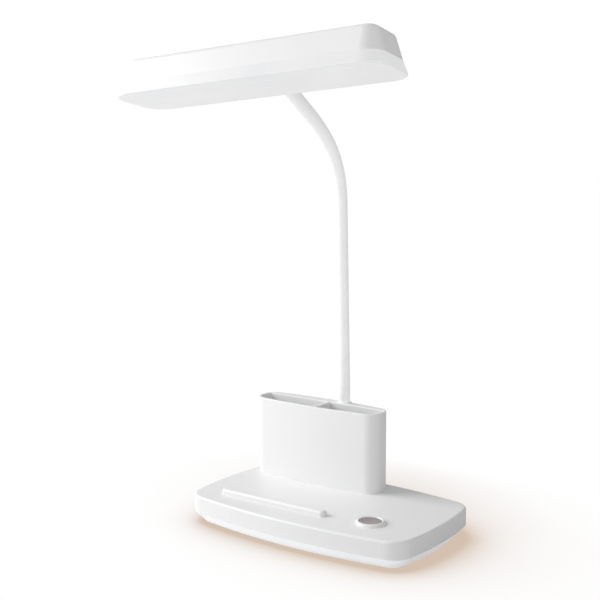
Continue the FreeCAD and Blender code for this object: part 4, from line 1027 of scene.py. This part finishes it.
@dataclass
class Studio:
    """Pale floor, three soft lights, even sky and camera. Angles in degrees, lens and sensor in mm."""

    eye: Triple = (439.4 * MM, -635.3 * MM, 274.3 * MM)
    azimuth: float = 36.11
    drop: float = 7.51
    roll: float = -0.21
    lens: float = 65.95
    shift: float = -0.0118
    sensor: float = 36.0
    clip: tuple[float, float] = (0.01, 100.0)
    # the floor's warm shadow near the lamp is painted, from ambient occlusion
    paper: Finish = StudioPaper(
        "floor_paper", bounce=(0.8, 0.8, 0.8), shade=(0.66, 0.53, 0.43), lean=(-0.26, -0.24, 0.94), reach=0.13
    )
    floor_size: float = 12.0
    floor_cells: int = 8
    lamps: tuple[SoftBox, ...] = (
        SoftBox("key_light", (-1.10, -0.50, 0.78), (0.0, 0.0, 0.10), power=16.6, size=0.9),
        SoftBox("front_light", (0.25, -1.20, 0.30), (0.0, 0.0, 0.10), power=2.4, size=0.8),
        SoftBox("fill_light", (0.40, -0.12, 0.46), (0.10, -0.05, 0.34), power=0.27, size=0.25),
    )
    sky: float = 0.40
    backdrop: float = 1.02

    def build(self) -> None:
        """Sets up the floor, the lights and the camera."""
        self.floor()
        self.world()
        self.lights()
        self.camera()
        bpy.context.scene.view_settings.view_transform = "Standard"

    def floor(self) -> None:
        """Lays the floor."""
        mesh = bmesh.new()
        cells = self.floor_cells
        bmesh.ops.create_grid(mesh, x_segments=cells, y_segments=cells, size=self.floor_size)
        settle("floor", mesh, self.paper.build())

    def world(self) -> None:
        """Lights the air evenly and shows it white behind the lamp."""
        world = bpy.data.worlds.new("studio_air")
        world.use_nodes = True
        bpy.context.scene.world = world
        tree = world.node_tree
        tree.nodes.clear()
        out = tree.nodes.new("ShaderNodeOutputWorld")
        mix = tree.nodes.new("ShaderNodeMixShader")
        path = tree.nodes.new("ShaderNodeLightPath")
        shades = []
        for strength in (self.sky, self.backdrop):
            node = tree.nodes.new("ShaderNodeBackground")
            node.inputs["Color"].default_value = (*PURE_WHITE, 1.0)
            node.inputs["Strength"].default_value = strength
            shades.append(node)
        tree.links.new(path.outputs["Is Camera Ray"], mix.inputs[0])
        tree.links.new(shades[0].outputs[0], mix.inputs[1])
        tree.links.new(shades[1].outputs[0], mix.inputs[2])
        tree.links.new(mix.outputs[0], out.inputs["Surface"])

    def lights(self) -> None:
        """Hangs the soft boxes."""
        for lamp in self.lamps:
            lamp.hang()

    def camera(self) -> None:
        """Places the camera."""
        a, e, r = (math.radians(v) for v in (self.azimuth, self.drop, self.roll))
        back = Vector((math.sin(a) * math.cos(e), -math.cos(a) * math.cos(e), math.sin(e)))
        level = Vector((math.cos(a), math.sin(a), 0.0))
        rise = back.cross(level)
        right = level * math.cos(r) + rise * math.sin(r)
        up = rise * math.cos(r) - level * math.sin(r)
        data = bpy.data.cameras.new("camera")
        data.sensor_width = self.sensor
        data.lens = self.lens
        data.shift_y = self.shift
        data.clip_start, data.clip_end = self.clip
        item = bpy.data.objects.new("camera", data)
        turn = Matrix((right, up, back)).transposed().to_4x4()
        item.matrix_world = Matrix.Translation(Vector(self.eye)) @ turn
        bpy.context.scene.collection.objects.link(item)
        bpy.context.scene.camera = item


def main() -> None:
    """Builds the studio and the lamp, piece by piece."""
    logging.basicConfig(level=logging.INFO, format="%(message)s")
    for part in (Studio(), Base(), PowerButton(), PenCup(), GooseNeck(), LampHead()):
        LOG.info("building %s", type(part).__name__)
        part.build()
    bpy.context.view_layer.update()


if __name__ == "__main__":
    main()
